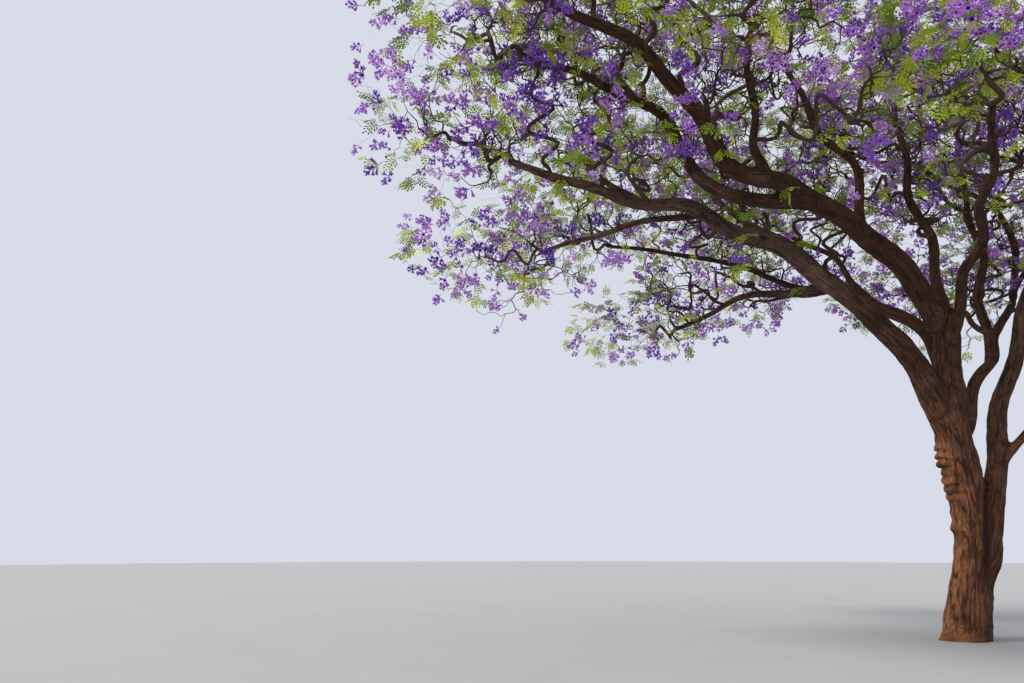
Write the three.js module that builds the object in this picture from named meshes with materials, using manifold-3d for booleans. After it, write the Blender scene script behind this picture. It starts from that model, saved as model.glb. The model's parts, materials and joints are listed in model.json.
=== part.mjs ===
import * as THREE from 'three';
import { mergeVertices } from 'three/addons/utils/BufferGeometryUtils.js';
import Module from 'manifold-3d';

const wasm = await Module();
wasm.setup();

// Jacaranda tree, whole, rooted in level ground. Millimetres, +Z up, origin at the middle of the
// trunk's flat cut. Its long boughs arch out towards -X. The table of limbs is in metres.
const METRE = 1000;
const GAP = 0.4;                       // room left round a limb where another one leaves it
const JOIN_GAP = 0.3;                  // room between a bough's tip and the stem of its mass
const TAPER = 0.8;                     // how soon a limb thins towards its tip
const SWAY = 0.045;                    // sideways swing of a bough, as a share of one wave
const WAVE = 1900;                     // length of one wave of that swing
const SLICE = 680;                     // length of limb between two rings of corners

const LIMB_FINE = [0.04, 0.02, 0.06];  // slivers finer than this are smoothed away
const MASS_FINE = [3, 2, 4, 1, 6, 8];

const TRUNK_SIDES = 19;
const TRUNK_SLICES = 13;
const FOOT_FLARE = 55;                 // how far the foot spreads beyond the trunk's own radius
const FOOT_HEIGHT = 260;
const ROOT_LUMP = 90;                  // the low swelling on the -X side of the foot
const ROOT_LUMP_HEIGHT = 120;
const COLLAR = 60;                     // swelling under the right stem, where it leaves the trunk
const COLLAR_LEVEL = 700;
const LEDGES = 7;                      // ridges up the -X side of the trunk
const LEDGE_LEVEL = [1980, 3540];
const LEDGE_SIZE = { width: 330, height: 90, stand: 60 };

const REACH = new THREE.Vector3(1950, 1950, 1200);   // half the size of a mass of leaves and blossom
const LEAD = 0.62;                     // from a bough's tip to the middle of its mass, share of reach
const RISE = 350;
const LIMB_ROOM = 45;                  // room kept to a limb that passes through
const CELL_MARGIN = 25;                // room kept to the plane between two masses
const SPRAYS = 11;                     // in one mass, each at the end of its own twig
const TRIES = 120;
const BUD_ZONE = [0.08, 0.46];         // where twigs end, from the middle (0) to the rim (1)
const SPRAY_LENGTH = 0.58;             // share of the mass's own reach in that direction
const SPRAY_SPREAD = 26;               // degrees that a spray may turn from straight outward
const LEAF_SPRAY = { width: 0.95, thick: 0.24, droop: 0.12 };
const PANICLE = { width: 0.8, thick: 0.36, droop: -0.25 };
const STEM_MOST = 46;                  // radius of a mass's stem at its root, at most, and at its end
const STEM_END = 28;
const STEM_FORKS = [0.35, 0.65, 0.92];
const TWIG_END = 13;                   // radius of a twig where its spray starts
const TWIG_LEAST = 260;
const SPRAY_APART = 600;               // least room between the middles of two sprays
const WIDEST = 0.42;                   // where a spray is widest, from its root to its tip

const BARK = { colour: 0x4d382b, rough: 0.95 };
const LEAF = { colour: 0x9aa948, rough: 0.8 };
const BLOSSOM = { colour: 0x8467b8, rough: 0.85 };

// name, parent, share of the parent's length where it leaves, bends on its way, tip, radii
const LIMBS = [
  ['trunk', null, 0, [[0.17, 0, 0.75], [0.5, 0.05, 1.9], [0.48, 0.05, 2.95]], [0.36, 0, 4.35], 0.35, 0.3],
  ['upper_stem', 'trunk', 0.97, [[0.47, -0.06, 5.2]], [0.52, -0.2, 6.1], 0.27, 0.235],
  ['low_arch_bough', 'trunk', 0.92,
    [[-0.43, -0.2, 5.39], [-2.42, -0.7, 7.03], [-4.81, -1.3, 7.93], [-6.5, -1.8, 8.05]],
    [-8.3, -2.35, 8.42], 0.25, 0.055],
  ['high_arch_bough', 'upper_stem', 0.9,
    [[-0.55, -0.8, 6.9], [-2.86, -2.1, 7.87], [-4.5, -2.95, 8.1], [-5.9, -3.8, 9.55]],
    [-7.6, -4.7, 9.85], 0.24, 0.07],
  ['mid_arch_bough', 'high_arch_bough', 0.4,
    [[-3.5, -2.25, 7.66], [-4.6, -2.4, 7.85], [-5.75, -2.8, 9.2]], [-8.1, -3.3, 9.95], 0.15, 0.05],
  ['back_arch_bough', 'upper_stem', 0.25,
    [[0.63, 0.7, 5.9], [-0.38, 2.4, 7.55], [-1.8, 3.4, 7.9]], [-3.9, 4.5, 7.25], 0.17, 0.05],
  ['right_stem', 'trunk', 0.16,
    [[0.58, -0.12, 1.4], [0.82, -0.08, 2.1], [1.2, 0.2, 3.1], [1.95, 0.5, 4.9], [2.6, -0.3, 7.2]],
    [3.3, -1.3, 9.0], 0.235, 0.055],
  ['inner_bough', 'trunk', 0.8,
    [[1.28, 0.35, 4.84], [2.5, 1.1, 6.3], [3.6, 1.7, 7.7]], [4.4, 2.2, 8.3], 0.135, 0.045],
  ['tall_bough', 'inner_bough', 0.36,
    [[1.95, 0.8, 6.8], [2.15, 0.85, 8.4], [1.98, 0.8, 9.7]], [2.15, 0.8, 11.2], 0.11, 0.04],
  ['crossing_riser', 'inner_bough', 0.7, [[3.55, 1.7, 8.6]], [3.35, 1.8, 9.6], 0.082, 0.07],
  ['crossing_bough', 'crossing_riser', 0.96, [[2.3, 1.95, 10.35]], [-0.4, 1.5, 10.9], 0.07, 0.04],
  ['first_riser', 'high_arch_bough', 0.27,
    [[-1.72, -1.6, 8.8], [-2.5, -1.9, 9.65]], [-3.05, -2.2, 10.6], 0.1, 0.045],
  ['second_riser', 'mid_arch_bough', 0.66, [[-6.2, -2.4, 10.0]], [-6.1, -2.0, 10.9], 0.075, 0.04],
  ['front_arch_bough', 'high_arch_bough', 0.52, [[-4.4, -3.9, 8.4]], [-4.7, -5.0, 9.0], 0.09, 0.04],
  ['front_bough', 'upper_stem', 0.62,
    [[0.35, -1.4, 6.7], [-0.3, -3.2, 7.3]], [-1.0, -4.7, 8.1], 0.12, 0.045],
  ['top_bough', 'upper_stem', 0.95, [[0.35, -0.3, 7.6], [-0.1, -0.6, 9.6]], [-0.3, -1.1, 11.2], 0.12, 0.04],
  ['low_side_bough', 'low_arch_bough', 0.62, [[-6.2, -1.05, 7.7]], [-7.7, -0.7, 7.3], 0.075, 0.035],
  ['low_riser', 'low_arch_bough', 0.74, [[-6.7, -1.2, 8.9]], [-7.0, -0.4, 9.6], 0.07, 0.035],
  ['grey_bough', 'low_arch_bough', 0.2,
    [[-1.6, 0.4, 7.4], [-3.0, 1.1, 8.9]], [-3.9, 1.4, 10.0], 0.13, 0.045],
  ['back_left_bough', 'back_arch_bough', 0.58, [[-3.2, 2.9, 8.6]], [-5.9, 2.7, 8.9], 0.08, 0.04],
  ['back_mid_bough', 'back_arch_bough', 0.36, [[-0.6, 2.6, 8.7]], [-1.2, 3.7, 9.8], 0.09, 0.04],
  ['back_low_bough', 'back_arch_bough', 0.5, [[-1.0, 4.1, 8.0]], [-1.3, 5.0, 8.2], 0.07, 0.035],
  ['right_low_bough', 'right_stem', 0.25,
    [[1.9, 0.2, 3.84], [3.3, 0.2, 5.2]], [5.1, 0.25, 6.7], 0.09, 0.035],
  ['right_out_bough', 'right_stem', 0.565, [[3.1, -0.9, 6.9]], [4.5, -2.3, 7.8], 0.09, 0.035],
  ['front_right_bough', 'right_stem', 0.685, [[2.3, -2.2, 7.8]], [2.0, -4.2, 8.3], 0.085, 0.035],
  ['front_top_bough', 'right_stem', 0.83, [[2.3, -1.9, 9.2]], [0.9, -2.9, 10.0], 0.07, 0.035],
  ['back_right_bough', 'inner_bough', 0.5, [[2.5, 2.3, 6.9]], [2.5, 4.1, 8.1], 0.08, 0.035],
  ['back_top_bough', 'tall_bough', 0.55, [[2.4, 1.6, 9.3]], [2.6, 2.6, 10.3], 0.07, 0.035],
];
const BARE = new Set(['trunk', 'upper_stem', 'crossing_riser']);
const LEAFY = new Set([
  'high_arch_bough', 'second_riser', 'low_riser', 'back_arch_bough', 'front_bough', 'crossing_bough',
  'right_low_bough', 'back_mid_bough', 'right_stem', 'back_left_bough', 'tall_bough', 'front_right_bough',
]);

const UP = new THREE.Vector3(0, 0, 1);

function hash01(a, b) {
  const v = Math.sin(a * 12.9898 + b * 78.233) * 43758.5453;
  return v - Math.floor(v);
}

function fraction(x) {
  return x - Math.floor(x);
}

// A limb's middle line: through its bends, with a gentle swing in two directions on top.
class LimbLine extends THREE.Curve {
  constructor(index, name, start, bends, tip, root, end) {
    super();
    this.name = name;
    this.radii = [root * METRE, end * METRE];
    this.points = [start, ...[...bends, tip].map((p) => new THREE.Vector3(...p).multiplyScalar(METRE))];
    this.marks = [0];
    for (let k = 1; k < this.points.length; k++) {
      this.marks.push(this.marks[k - 1] + this.points[k].distanceTo(this.points[k - 1]));
    }
    this.length = this.marks.at(-1);
    this.marks = this.marks.map((m) => m / this.length);
    this.slopes = this.points.map((_, k) => this.slopeAt(k));
    const chord = tip ? this.points.at(-1).clone().sub(start).normalize() : UP;
    this.side = new THREE.Vector3().crossVectors(UP, chord).normalize();
    this.over = new THREE.Vector3().crossVectors(chord, this.side);
    this.waves = Math.max(1, this.length / WAVE);
    this.swing = BARE.has(name) ? 0 : SWAY * Math.min(WAVE, this.length);
    this.phase = [hash01(index, 1), hash01(index, 2)];
  }

  slopeAt(k) {
    const rise = (a, b) => this.points[b].clone().sub(this.points[a])
      .divideScalar(this.marks[b] - this.marks[a]);
    const last = this.points.length - 1;
    if (k === 0) return rise(0, 1);
    if (k === last) return rise(last - 1, last);
    const before = this.marks[k] - this.marks[k - 1];
    const after = this.marks[k + 1] - this.marks[k];
    return rise(k - 1, k).multiplyScalar(after / (before + after))
      .addScaledVector(rise(k, k + 1), before / (before + after));
  }

  getPoint(t, target = new THREE.Vector3()) {
    let k = 0;
    while (k < this.points.length - 2 && t > this.marks[k + 1]) k++;
    const span = this.marks[k + 1] - this.marks[k];
    const x = (t - this.marks[k]) / span;
    target.set(0, 0, 0)
      .addScaledVector(this.points[k], 2 * x ** 3 - 3 * x ** 2 + 1)
      .addScaledVector(this.slopes[k], (x ** 3 - 2 * x ** 2 + x) * span)
      .addScaledVector(this.points[k + 1], 3 * x ** 2 - 2 * x ** 3)
      .addScaledVector(this.slopes[k + 1], (x ** 3 - x ** 2) * span);
    const swing = Math.sin(Math.PI * t) * this.swing;
    const turn = (waves, phase) => Math.sin(2 * Math.PI * (waves * t + phase));
    return target
      .addScaledVector(this.side, swing * turn(this.waves, this.phase[0]))
      .addScaledVector(this.over, 0.8 * swing * turn(this.waves * 0.8, this.phase[1]));
  }

  radius(t) {
    return this.radii[1] + (this.radii[0] - this.radii[1]) * (1 - Math.min(t, 1)) ** TAPER;
  }
}

function growLimbs() {
  const lines = new Map();
  LIMBS.forEach(([name, parent, at, bends, tip, root, end], index) => {
    const start = parent ? lines.get(parent).getPoint(at) : new THREE.Vector3();
    lines.set(name, new LimbLine(index, name, start, bends, tip, root, end));
  });
  return lines;
}

// Puts each corner of a unit cylinder round the line: along it by the corner's height, out from it
// by reach(t, angle), in the slice that frame(t) gives.
function bendRound(line, sides, slices, reach, frame, stretch = 0) {
  const geometry = new THREE.CylinderGeometry(1, 1, 1, sides, slices);
  const spots = geometry.attributes.position;
  const corner = new THREE.Vector3();
  for (let i = 0; i < spots.count; i++) {
    corner.fromBufferAttribute(spots, i);
    const t = corner.y + 0.5;
    const out = Math.hypot(corner.x, corner.z);
    const angle = Math.atan2(-corner.z, corner.x);
    const { across, level, along } = frame(t);
    const size = out < 0.5 ? 0 : reach(t, angle);
    const spot = line.getPoint(t)
      .addScaledVector(along, t > 0.999 ? stretch : 0)
      .addScaledVector(across, Math.cos(angle) * size)
      .addScaledVector(level, Math.sin(angle) * size);
    spots.setXYZ(i, spot.x, spot.y, spot.z);
  }
  return geometry;
}

function limbFrame(line) {
  return (t) => {
    const along = line.getTangent(t);
    const across = line.side.clone().addScaledVector(along, -line.side.dot(along)).normalize();
    return { across, level: new THREE.Vector3().crossVectors(along, across), along };
  };
}

// Horizontal slices, so the cut at the ground is flat.
function trunkFrame() {
  return () => ({ across: new THREE.Vector3(1, 0, 0), level: new THREE.Vector3(0, 1, 0), along: UP });
}

function trunkReach(line, extra) {
  return (t, angle) => {
    const z = line.getPoint(t).z;
    const lobes = 1 + 0.32 * Math.cos(4 * angle + 0.6) + 0.16 * Math.cos(7 * angle + 2.1);
    const flare = FOOT_FLARE * lobes * Math.exp(-z / FOOT_HEIGHT);
    const lump = ROOT_LUMP * Math.max(0, -Math.cos(angle - 0.25)) ** 6 * Math.exp(-z / ROOT_LUMP_HEIGHT);
    const rise = (z - COLLAR_LEVEL) / 620;
    const collar = COLLAR * Math.max(0, Math.cos(angle + 0.6)) ** 2 * Math.exp(-rise * rise);
    const folds = 1 + 0.035 * Math.cos(3 * angle + z / 900) + 0.02 * Math.cos(8 * angle - z / 700);
    return line.radius(t) * folds + flare + lump + collar + extra;
  };
}

function toManifold(geometry) {
  const bare = geometry.clone();
  bare.deleteAttribute('normal');
  bare.deleteAttribute('uv');
  const merged = mergeVertices(bare, 1e-3);
  const mesh = new wasm.Mesh({
    numProp: 3,
    vertProperties: new Float32Array(merged.attributes.position.array),
    triVerts: new Uint32Array(merged.index.array),
  });
  return new wasm.Manifold(mesh);
}

function toGeometry(solid) {
  const mesh = solid.getMesh();
  const geometry = new THREE.BufferGeometry();
  geometry.setAttribute('position', new THREE.BufferAttribute(new Float32Array(mesh.vertProperties), 3));
  geometry.setIndex(new THREE.BufferAttribute(new Uint32Array(mesh.triVerts), 1));
  geometry.computeVertexNormals();
  return geometry;
}

// The one body that is kept when a cut leaves scraps beside it.
function largest(solid) {
  const bodies = solid.decompose();
  return bodies.reduce((best, body) => (body.volume() > best.volume() ? body : best), bodies[0]);
}

// Whether each edge has two faces, once corners a ten-thousandth of a millimetre apart are one.
function isTight(solid) {
  const mesh = solid.getMesh();
  const corner = (i) => Array.from(mesh.vertProperties.subarray(3 * i, 3 * i + 3))
    .map((x) => x.toFixed(4)).join();
  const faces = new Map();
  for (let i = 0; i < mesh.triVerts.length; i += 3) {
    const names = [0, 1, 2].map((k) => corner(mesh.triVerts[i + k]));
    if (new Set(names).size < 3) continue;
    names.forEach((name, k) => {
      const edge = [name, names[(k + 1) % 3]].sort().join();
      faces.set(edge, (faces.get(edge) ?? 0) + 1);
    });
  }
  return [...faces.values()].every((count) => count === 2);
}

// The solid without its slivers, by the first fineness that leaves it closed.
function smoothed(solid, finenesses) {
  const tries = finenesses.map((fineness) => () => solid.simplify(fineness));
  return (tries.find((attempt) => isTight(attempt())) ?? tries[0])();
}

function fuse(solids) {
  return solids.reduce((whole, solid) => whole.add(solid));
}

// A ridge across the bark on the -X side: a short bar, thin above and blunt below.
function ledge(line, level, turn, size, extra) {
  const t = level / line.points.at(-1).z;
  const middle = line.getPoint(t);
  const angle = Math.PI + turn;
  const radius = trunkReach(line, 0)(t, angle);
  const bar = new THREE.CylinderGeometry(0.5, 1, LEDGE_SIZE.height + 2 * extra, 6, 1);
  bar.rotateX(Math.PI / 2);
  bar.scale(LEDGE_SIZE.stand + 2 * extra, size + 2 * extra, 1);
  bar.rotateZ(turn);
  bar.translate(middle.x + radius * Math.cos(angle), middle.y + radius * Math.sin(angle), middle.z);
  return toManifold(bar);
}

function trunkSolid(line, extra) {
  const reach = trunkReach(line, extra);
  const body = toManifold(bendRound(line, TRUNK_SIDES, TRUNK_SLICES, reach, trunkFrame(), extra));
  const ledges = [];
  for (let k = 0; k < LEDGES; k++) {
    const share = k / (LEDGES - 1);
    const level = THREE.MathUtils.lerp(...LEDGE_LEVEL, share);
    const size = LEDGE_SIZE.width * (0.75 + 0.4 * hash01(k, 6)) / 2;
    ledges.push(ledge(line, level, 0.5 * (hash01(k, 5) - 0.3), size, extra));
  }
  return fuse([body, ...ledges]);
}

function limbSolid(line, extra) {
  if (line.name === 'trunk') return trunkSolid(line, extra);
  const sides = line.radii[0] > 0.2 * METRE ? 8 : line.radii[0] > 0.12 * METRE ? 6 : 5;
  const slices = Math.max(4, Math.round(line.length / SLICE));
  return toManifold(bendRound(line, sides, slices, (t) => line.radius(t) + extra, limbFrame(line), extra));
}

// Each limb starts inside its parent and is cut back to the surface of all limbs made before it.
function limbSolids(lines) {
  const made = new Map();
  const walls = [];
  for (const line of lines.values()) {
    let solid = limbSolid(line, 0);
    const box = solid.boundingBox();
    for (const wall of walls) {
      const other = wall.boundingBox();
      const apart = [0, 1, 2].some((k) => box.min[k] > other.max[k] || box.max[k] < other.min[k]);
      if (!apart) solid = solid.subtract(wall);
    }
    made.set(line.name, smoothed(largest(solid), LIMB_FINE));
    walls.push(limbSolid(line, GAP));
  }
  return made;
}

// One mass of leaves and blossom: the room it keeps to, and the stem it grows from.
class Mass {
  constructor(index, line) {
    this.index = index;
    this.line = line;
    this.leafy = LEAFY.has(line.name);
    this.name = `${line.name.replace(/_(bough|stem)$/, '')}_mass`;
    const tip = line.getPoint(1);
    this.end = line.getTangent(1);
    const aim = tip.clone().sub(line.getPoint(0.93));
    aim.z *= 0.5;
    aim.normalize();
    this.root = tip.clone().addScaledVector(this.end, JOIN_GAP);
    this.centre = new THREE.Vector3(aim.x, aim.y, 0.8 * aim.z).multiplyScalar(LEAD * REACH.x).add(tip);
    this.centre.z += RISE;
    this.planes = [];
    this.limbs = [];
  }

  // Half way to a neighbour, each keeps to its own side.
  shareWith(other) {
    const gap = other.centre.clone().sub(this.centre);
    if (gap.clone().divide(REACH).length() > 2) return;
    const normal = gap.clone().divide(REACH).divide(REACH).normalize();
    const middle = this.centre.clone().addScaledVector(gap, 0.5);
    this.planes.push({ normal, limit: normal.dot(middle) - CELL_MARGIN });
  }

  keepClearOf(lines) {
    for (const line of lines.values()) {
      const steps = Math.ceil(line.length / 100);
      for (let k = 0; k <= steps; k++) {
        const t = k / steps;
        const spot = line.getPoint(t);
        if (spot.clone().sub(this.centre).divide(REACH).length() > 1.4) continue;
        this.limbs.push({ spot, radius: line.radius(t) });
      }
    }
  }

  holds(spot, room) {
    if (spot.clone().sub(this.centre).divide(REACH).length() > 1) return false;
    if (this.planes.some(({ normal, limit }) => normal.dot(spot) > limit - room)) return false;
    return this.limbs.every((limb) => limb.spot.distanceTo(spot) > limb.radius + room + LIMB_ROOM);
  }

  // How far the mass reaches from its middle in a direction.
  extent(direction) {
    return 1 / direction.clone().divide(REACH).length();
  }

  // The k-th place where a twig may end: even all round, at varied depth.
  bud(k) {
    const shift = (n) => hash01(this.index, n);
    const turn = 2 * Math.PI * fraction(0.8191725 * (k + 1) + shift(11));
    const height = THREE.MathUtils.lerp(-0.8, 0.92, fraction(0.6710436 * (k + 1) + shift(12)));
    const depth = THREE.MathUtils.lerp(...BUD_ZONE, Math.sqrt(fraction(0.5497005 * (k + 1) + shift(13))));
    const flat = Math.sqrt(1 - height * height);
    const out = new THREE.Vector3(flat * Math.cos(turn), flat * Math.sin(turn), height);
    return {
      out: out.clone().multiply(REACH).normalize(),
      spot: out.multiply(REACH).multiplyScalar(depth).add(this.centre),
    };
  }
}

// A three-sided twig from one place to another, leaving along the way its parent runs.
function twig(from, aim, to, radii, slices) {
  const length = from.distanceTo(to);
  const knee = from.clone().addScaledVector(aim, 0.4 * length);
  const line = new THREE.QuadraticBezierCurve3(from, knee, to);
  line.side = new THREE.Vector3().crossVectors(UP, to.clone().sub(from)).normalize();
  const reach = (t) => THREE.MathUtils.lerp(radii[0], radii[1], t);
  return { line, solid: toManifold(bendRound(line, 3, slices, reach, limbFrame(line))) };
}

// A three-sided twig that widens into a spray and ends in its point: rings at the fork, at the bud,
// where the spray is widest and at its tip.
function sprayOnTwig(fork, bud, direction, length, shape) {
  const body = new THREE.ConeGeometry(1, 1, 3, 3);
  const run = bud.clone().sub(fork.spot).normalize();
  const across = new THREE.Vector3().crossVectors(UP, direction).normalize();
  const rings = [
    { spot: fork.spot, along: run, wide: 1.7 * fork.radius, thick: 1.5 * fork.radius },
    { spot: bud, along: run.clone().add(direction).normalize(),
      wide: 1.7 * TWIG_END, thick: 1.5 * TWIG_END },
    { spot: bud.clone().addScaledVector(direction, WIDEST * length), along: direction,
      wide: shape.width * length, thick: shape.thick * length },
    { spot: bud.clone().addScaledVector(direction, length), along: direction, wide: 0, thick: 0 },
  ];
  const spots = body.attributes.position;
  const corners = [];
  for (let i = 0; i < spots.count; i++) {
    const ring = rings[Math.round((spots.getY(i) + 0.5) * 3)];
    const out = Math.hypot(spots.getX(i), spots.getZ(i));
    const side = across.clone().addScaledVector(ring.along, -across.dot(ring.along)).normalize();
    const level = new THREE.Vector3().crossVectors(ring.along, side);
    const spot = ring.spot.clone();
    if (out > 1e-6) {
      spot.addScaledVector(side, 0.577 * ring.wide * spots.getX(i) / out)
        .addScaledVector(level, -0.667 * ring.thick * spots.getZ(i) / out);
    }
    spots.setXYZ(i, spot.x, spot.y, spot.z);
    if (ring !== rings[0]) corners.push(spot);
  }
  return { corners, build: () => toManifold(body) };
}

// The way a spray points: outward from the middle of its mass, turned a little, drooping or upright.
function sprayAim(mass, bud, k, shape) {
  const turn = THREE.MathUtils.degToRad(SPRAY_SPREAD * (2 * hash01(k, mass.index + 20) - 1));
  const direction = bud.out.clone().applyAxisAngle(UP, turn);
  direction.z -= shape.droop * (0.5 + hash01(k + 40, mass.index));
  return direction.normalize();
}

// Places spread over a spray's blade, where it is looked at for limbs in its way.
function bladeSpots(root, direction, length, shape) {
  const across = new THREE.Vector3().crossVectors(UP, direction).normalize();
  const spots = [];
  for (const along of [0.15, 0.3, WIDEST, 0.6, 0.8]) {
    const half = 0.5 * shape.width * length * Math.min(along / WIDEST, (1 - along) / (1 - WIDEST));
    for (const side of [-0.8, -0.4, 0, 0.4, 0.8]) {
      spots.push(root.clone().addScaledVector(direction, along * length).addScaledVector(across, side * half));
    }
  }
  return spots;
}

// The spray at a bud, shorter where the full one would leave the mass or touch a limb.
function sprayAt(mass, fork, bud, k, middles) {
  const shape = mass.leafy ? LEAF_SPRAY : PANICLE;
  const direction = sprayAim(mass, bud, k, shape);
  for (const share of [1, 0.8, 0.62]) {
    const length = share * SPRAY_LENGTH * mass.extent(direction);
    const one = sprayOnTwig(fork, bud.spot, direction, length, shape);
    const middle = bud.spot.clone().addScaledVector(direction, WIDEST * length);
    const crowded = middles.some((other) => other.distanceTo(middle) < SPRAY_APART);
    const blade = bladeSpots(bud.spot, direction, length, shape);
    if (!crowded && one.corners.every((c) => mass.holds(c, 0)) && blade.every((c) => mass.holds(c, 50))) {
      middles.push(middle);
      return one.build();
    }
  }
  return null;
}

function massSolid(mass) {
  const hub = mass.centre.clone();
  hub.z -= 0.12 * REACH.z;
  const thick = Math.min(mass.line.radii[1] * 0.92, STEM_MOST);
  const stem = twig(mass.root, mass.end, hub, [thick, STEM_END], 3);
  const solids = [stem.solid];
  const forks = STEM_FORKS.map((t) => ({
    spot: stem.line.getPoint(t),
    radius: 0.8 * THREE.MathUtils.lerp(thick, STEM_END, t),
  }));
  const middles = [];
  for (let k = 0; k < TRIES && solids.length <= SPRAYS; k++) {
    const bud = mass.bud(k);
    if (!mass.holds(bud.spot, 40)) continue;
    const distance = (fork) => fork.spot.distanceTo(bud.spot);
    const fork = forks.reduce((best, one) => (distance(one) < distance(best) ? one : best));
    const way = (t) => fork.spot.clone().lerp(bud.spot, t);
    if (distance(fork) < TWIG_LEAST || ![0.3, 0.5, 0.75].every((t) => mass.holds(way(t), 25))) continue;
    const one = sprayAt(mass, fork, bud, k, middles);
    if (!one) continue;
    solids.push(one);
    forks.push({ spot: way(0.6), radius: Math.max(TWIG_END, 0.75 * fork.radius) });
  }
  return smoothed(largest(fuse(solids)), MASS_FINE);
}

function growMasses(lines) {
  const bearing = [...lines.values()].filter((line) => !BARE.has(line.name));
  const masses = bearing.map((line, index) => new Mass(index, line));
  for (const mass of masses) {
    masses.filter((other) => other !== mass).forEach((other) => mass.shareWith(other));
    mass.keepClearOf(lines);
  }
  return masses;
}

function part(name, solid, { colour, rough }) {
  const material = new THREE.MeshStandardMaterial({ color: colour, roughness: rough, metalness: 0 });
  const mesh = new THREE.Mesh(toGeometry(solid), material);
  mesh.name = name;
  return mesh;
}

const lines = growLimbs();
const tree = new THREE.Group();
tree.name = 'jacaranda_tree';
for (const [name, solid] of limbSolids(lines)) {
  tree.add(part(name, solid, BARK));
}
for (const mass of growMasses(lines)) {
  tree.add(part(mass.name, massSolid(mass), mass.leafy ? LEAF : BLOSSOM));
}

export default tree;
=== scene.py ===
"""Jacaranda tree in blossom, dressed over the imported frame: bark, twigs, fronds, panicles and pods.

Everything is in metres, +Z up, with the origin at the middle of the trunk's flat cut. The limbs and
the masses follow the rule of the part's source, carried on to finer twigs within the same reach.
"""
import json
import logging
import math
from dataclasses import dataclass, field, replace
from enum import Enum

import bmesh
import bpy
import numpy as np
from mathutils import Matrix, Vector

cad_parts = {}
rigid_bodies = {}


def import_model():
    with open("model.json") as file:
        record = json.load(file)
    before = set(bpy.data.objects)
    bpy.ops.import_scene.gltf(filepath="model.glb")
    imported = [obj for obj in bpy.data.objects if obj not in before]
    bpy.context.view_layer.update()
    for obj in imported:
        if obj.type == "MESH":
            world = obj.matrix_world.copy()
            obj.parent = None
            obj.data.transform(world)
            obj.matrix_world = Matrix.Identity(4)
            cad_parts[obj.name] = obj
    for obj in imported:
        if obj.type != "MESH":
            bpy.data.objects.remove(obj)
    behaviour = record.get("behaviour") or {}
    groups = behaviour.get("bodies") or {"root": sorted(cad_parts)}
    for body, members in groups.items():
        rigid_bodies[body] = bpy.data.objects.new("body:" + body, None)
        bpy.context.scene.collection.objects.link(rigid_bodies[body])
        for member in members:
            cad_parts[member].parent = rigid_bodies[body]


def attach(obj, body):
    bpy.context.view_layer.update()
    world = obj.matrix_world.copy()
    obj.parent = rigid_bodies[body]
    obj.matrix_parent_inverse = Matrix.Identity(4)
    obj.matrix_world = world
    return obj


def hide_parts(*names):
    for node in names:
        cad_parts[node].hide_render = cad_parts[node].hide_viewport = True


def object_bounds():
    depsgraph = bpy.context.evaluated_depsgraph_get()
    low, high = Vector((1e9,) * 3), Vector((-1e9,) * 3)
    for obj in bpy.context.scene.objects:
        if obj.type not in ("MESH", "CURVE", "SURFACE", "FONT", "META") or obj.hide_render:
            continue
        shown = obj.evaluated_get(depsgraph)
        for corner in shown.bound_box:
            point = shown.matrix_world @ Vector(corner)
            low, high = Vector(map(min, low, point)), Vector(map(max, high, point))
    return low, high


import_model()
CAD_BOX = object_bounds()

LOG = logging.getLogger("jacaranda")
UP = np.array([0.0, 0.0, 1.0])
# steps that spread places evenly round, up and out
EVEN_STEPS = (0.8191725, 0.6710436, 0.5497005)

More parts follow.
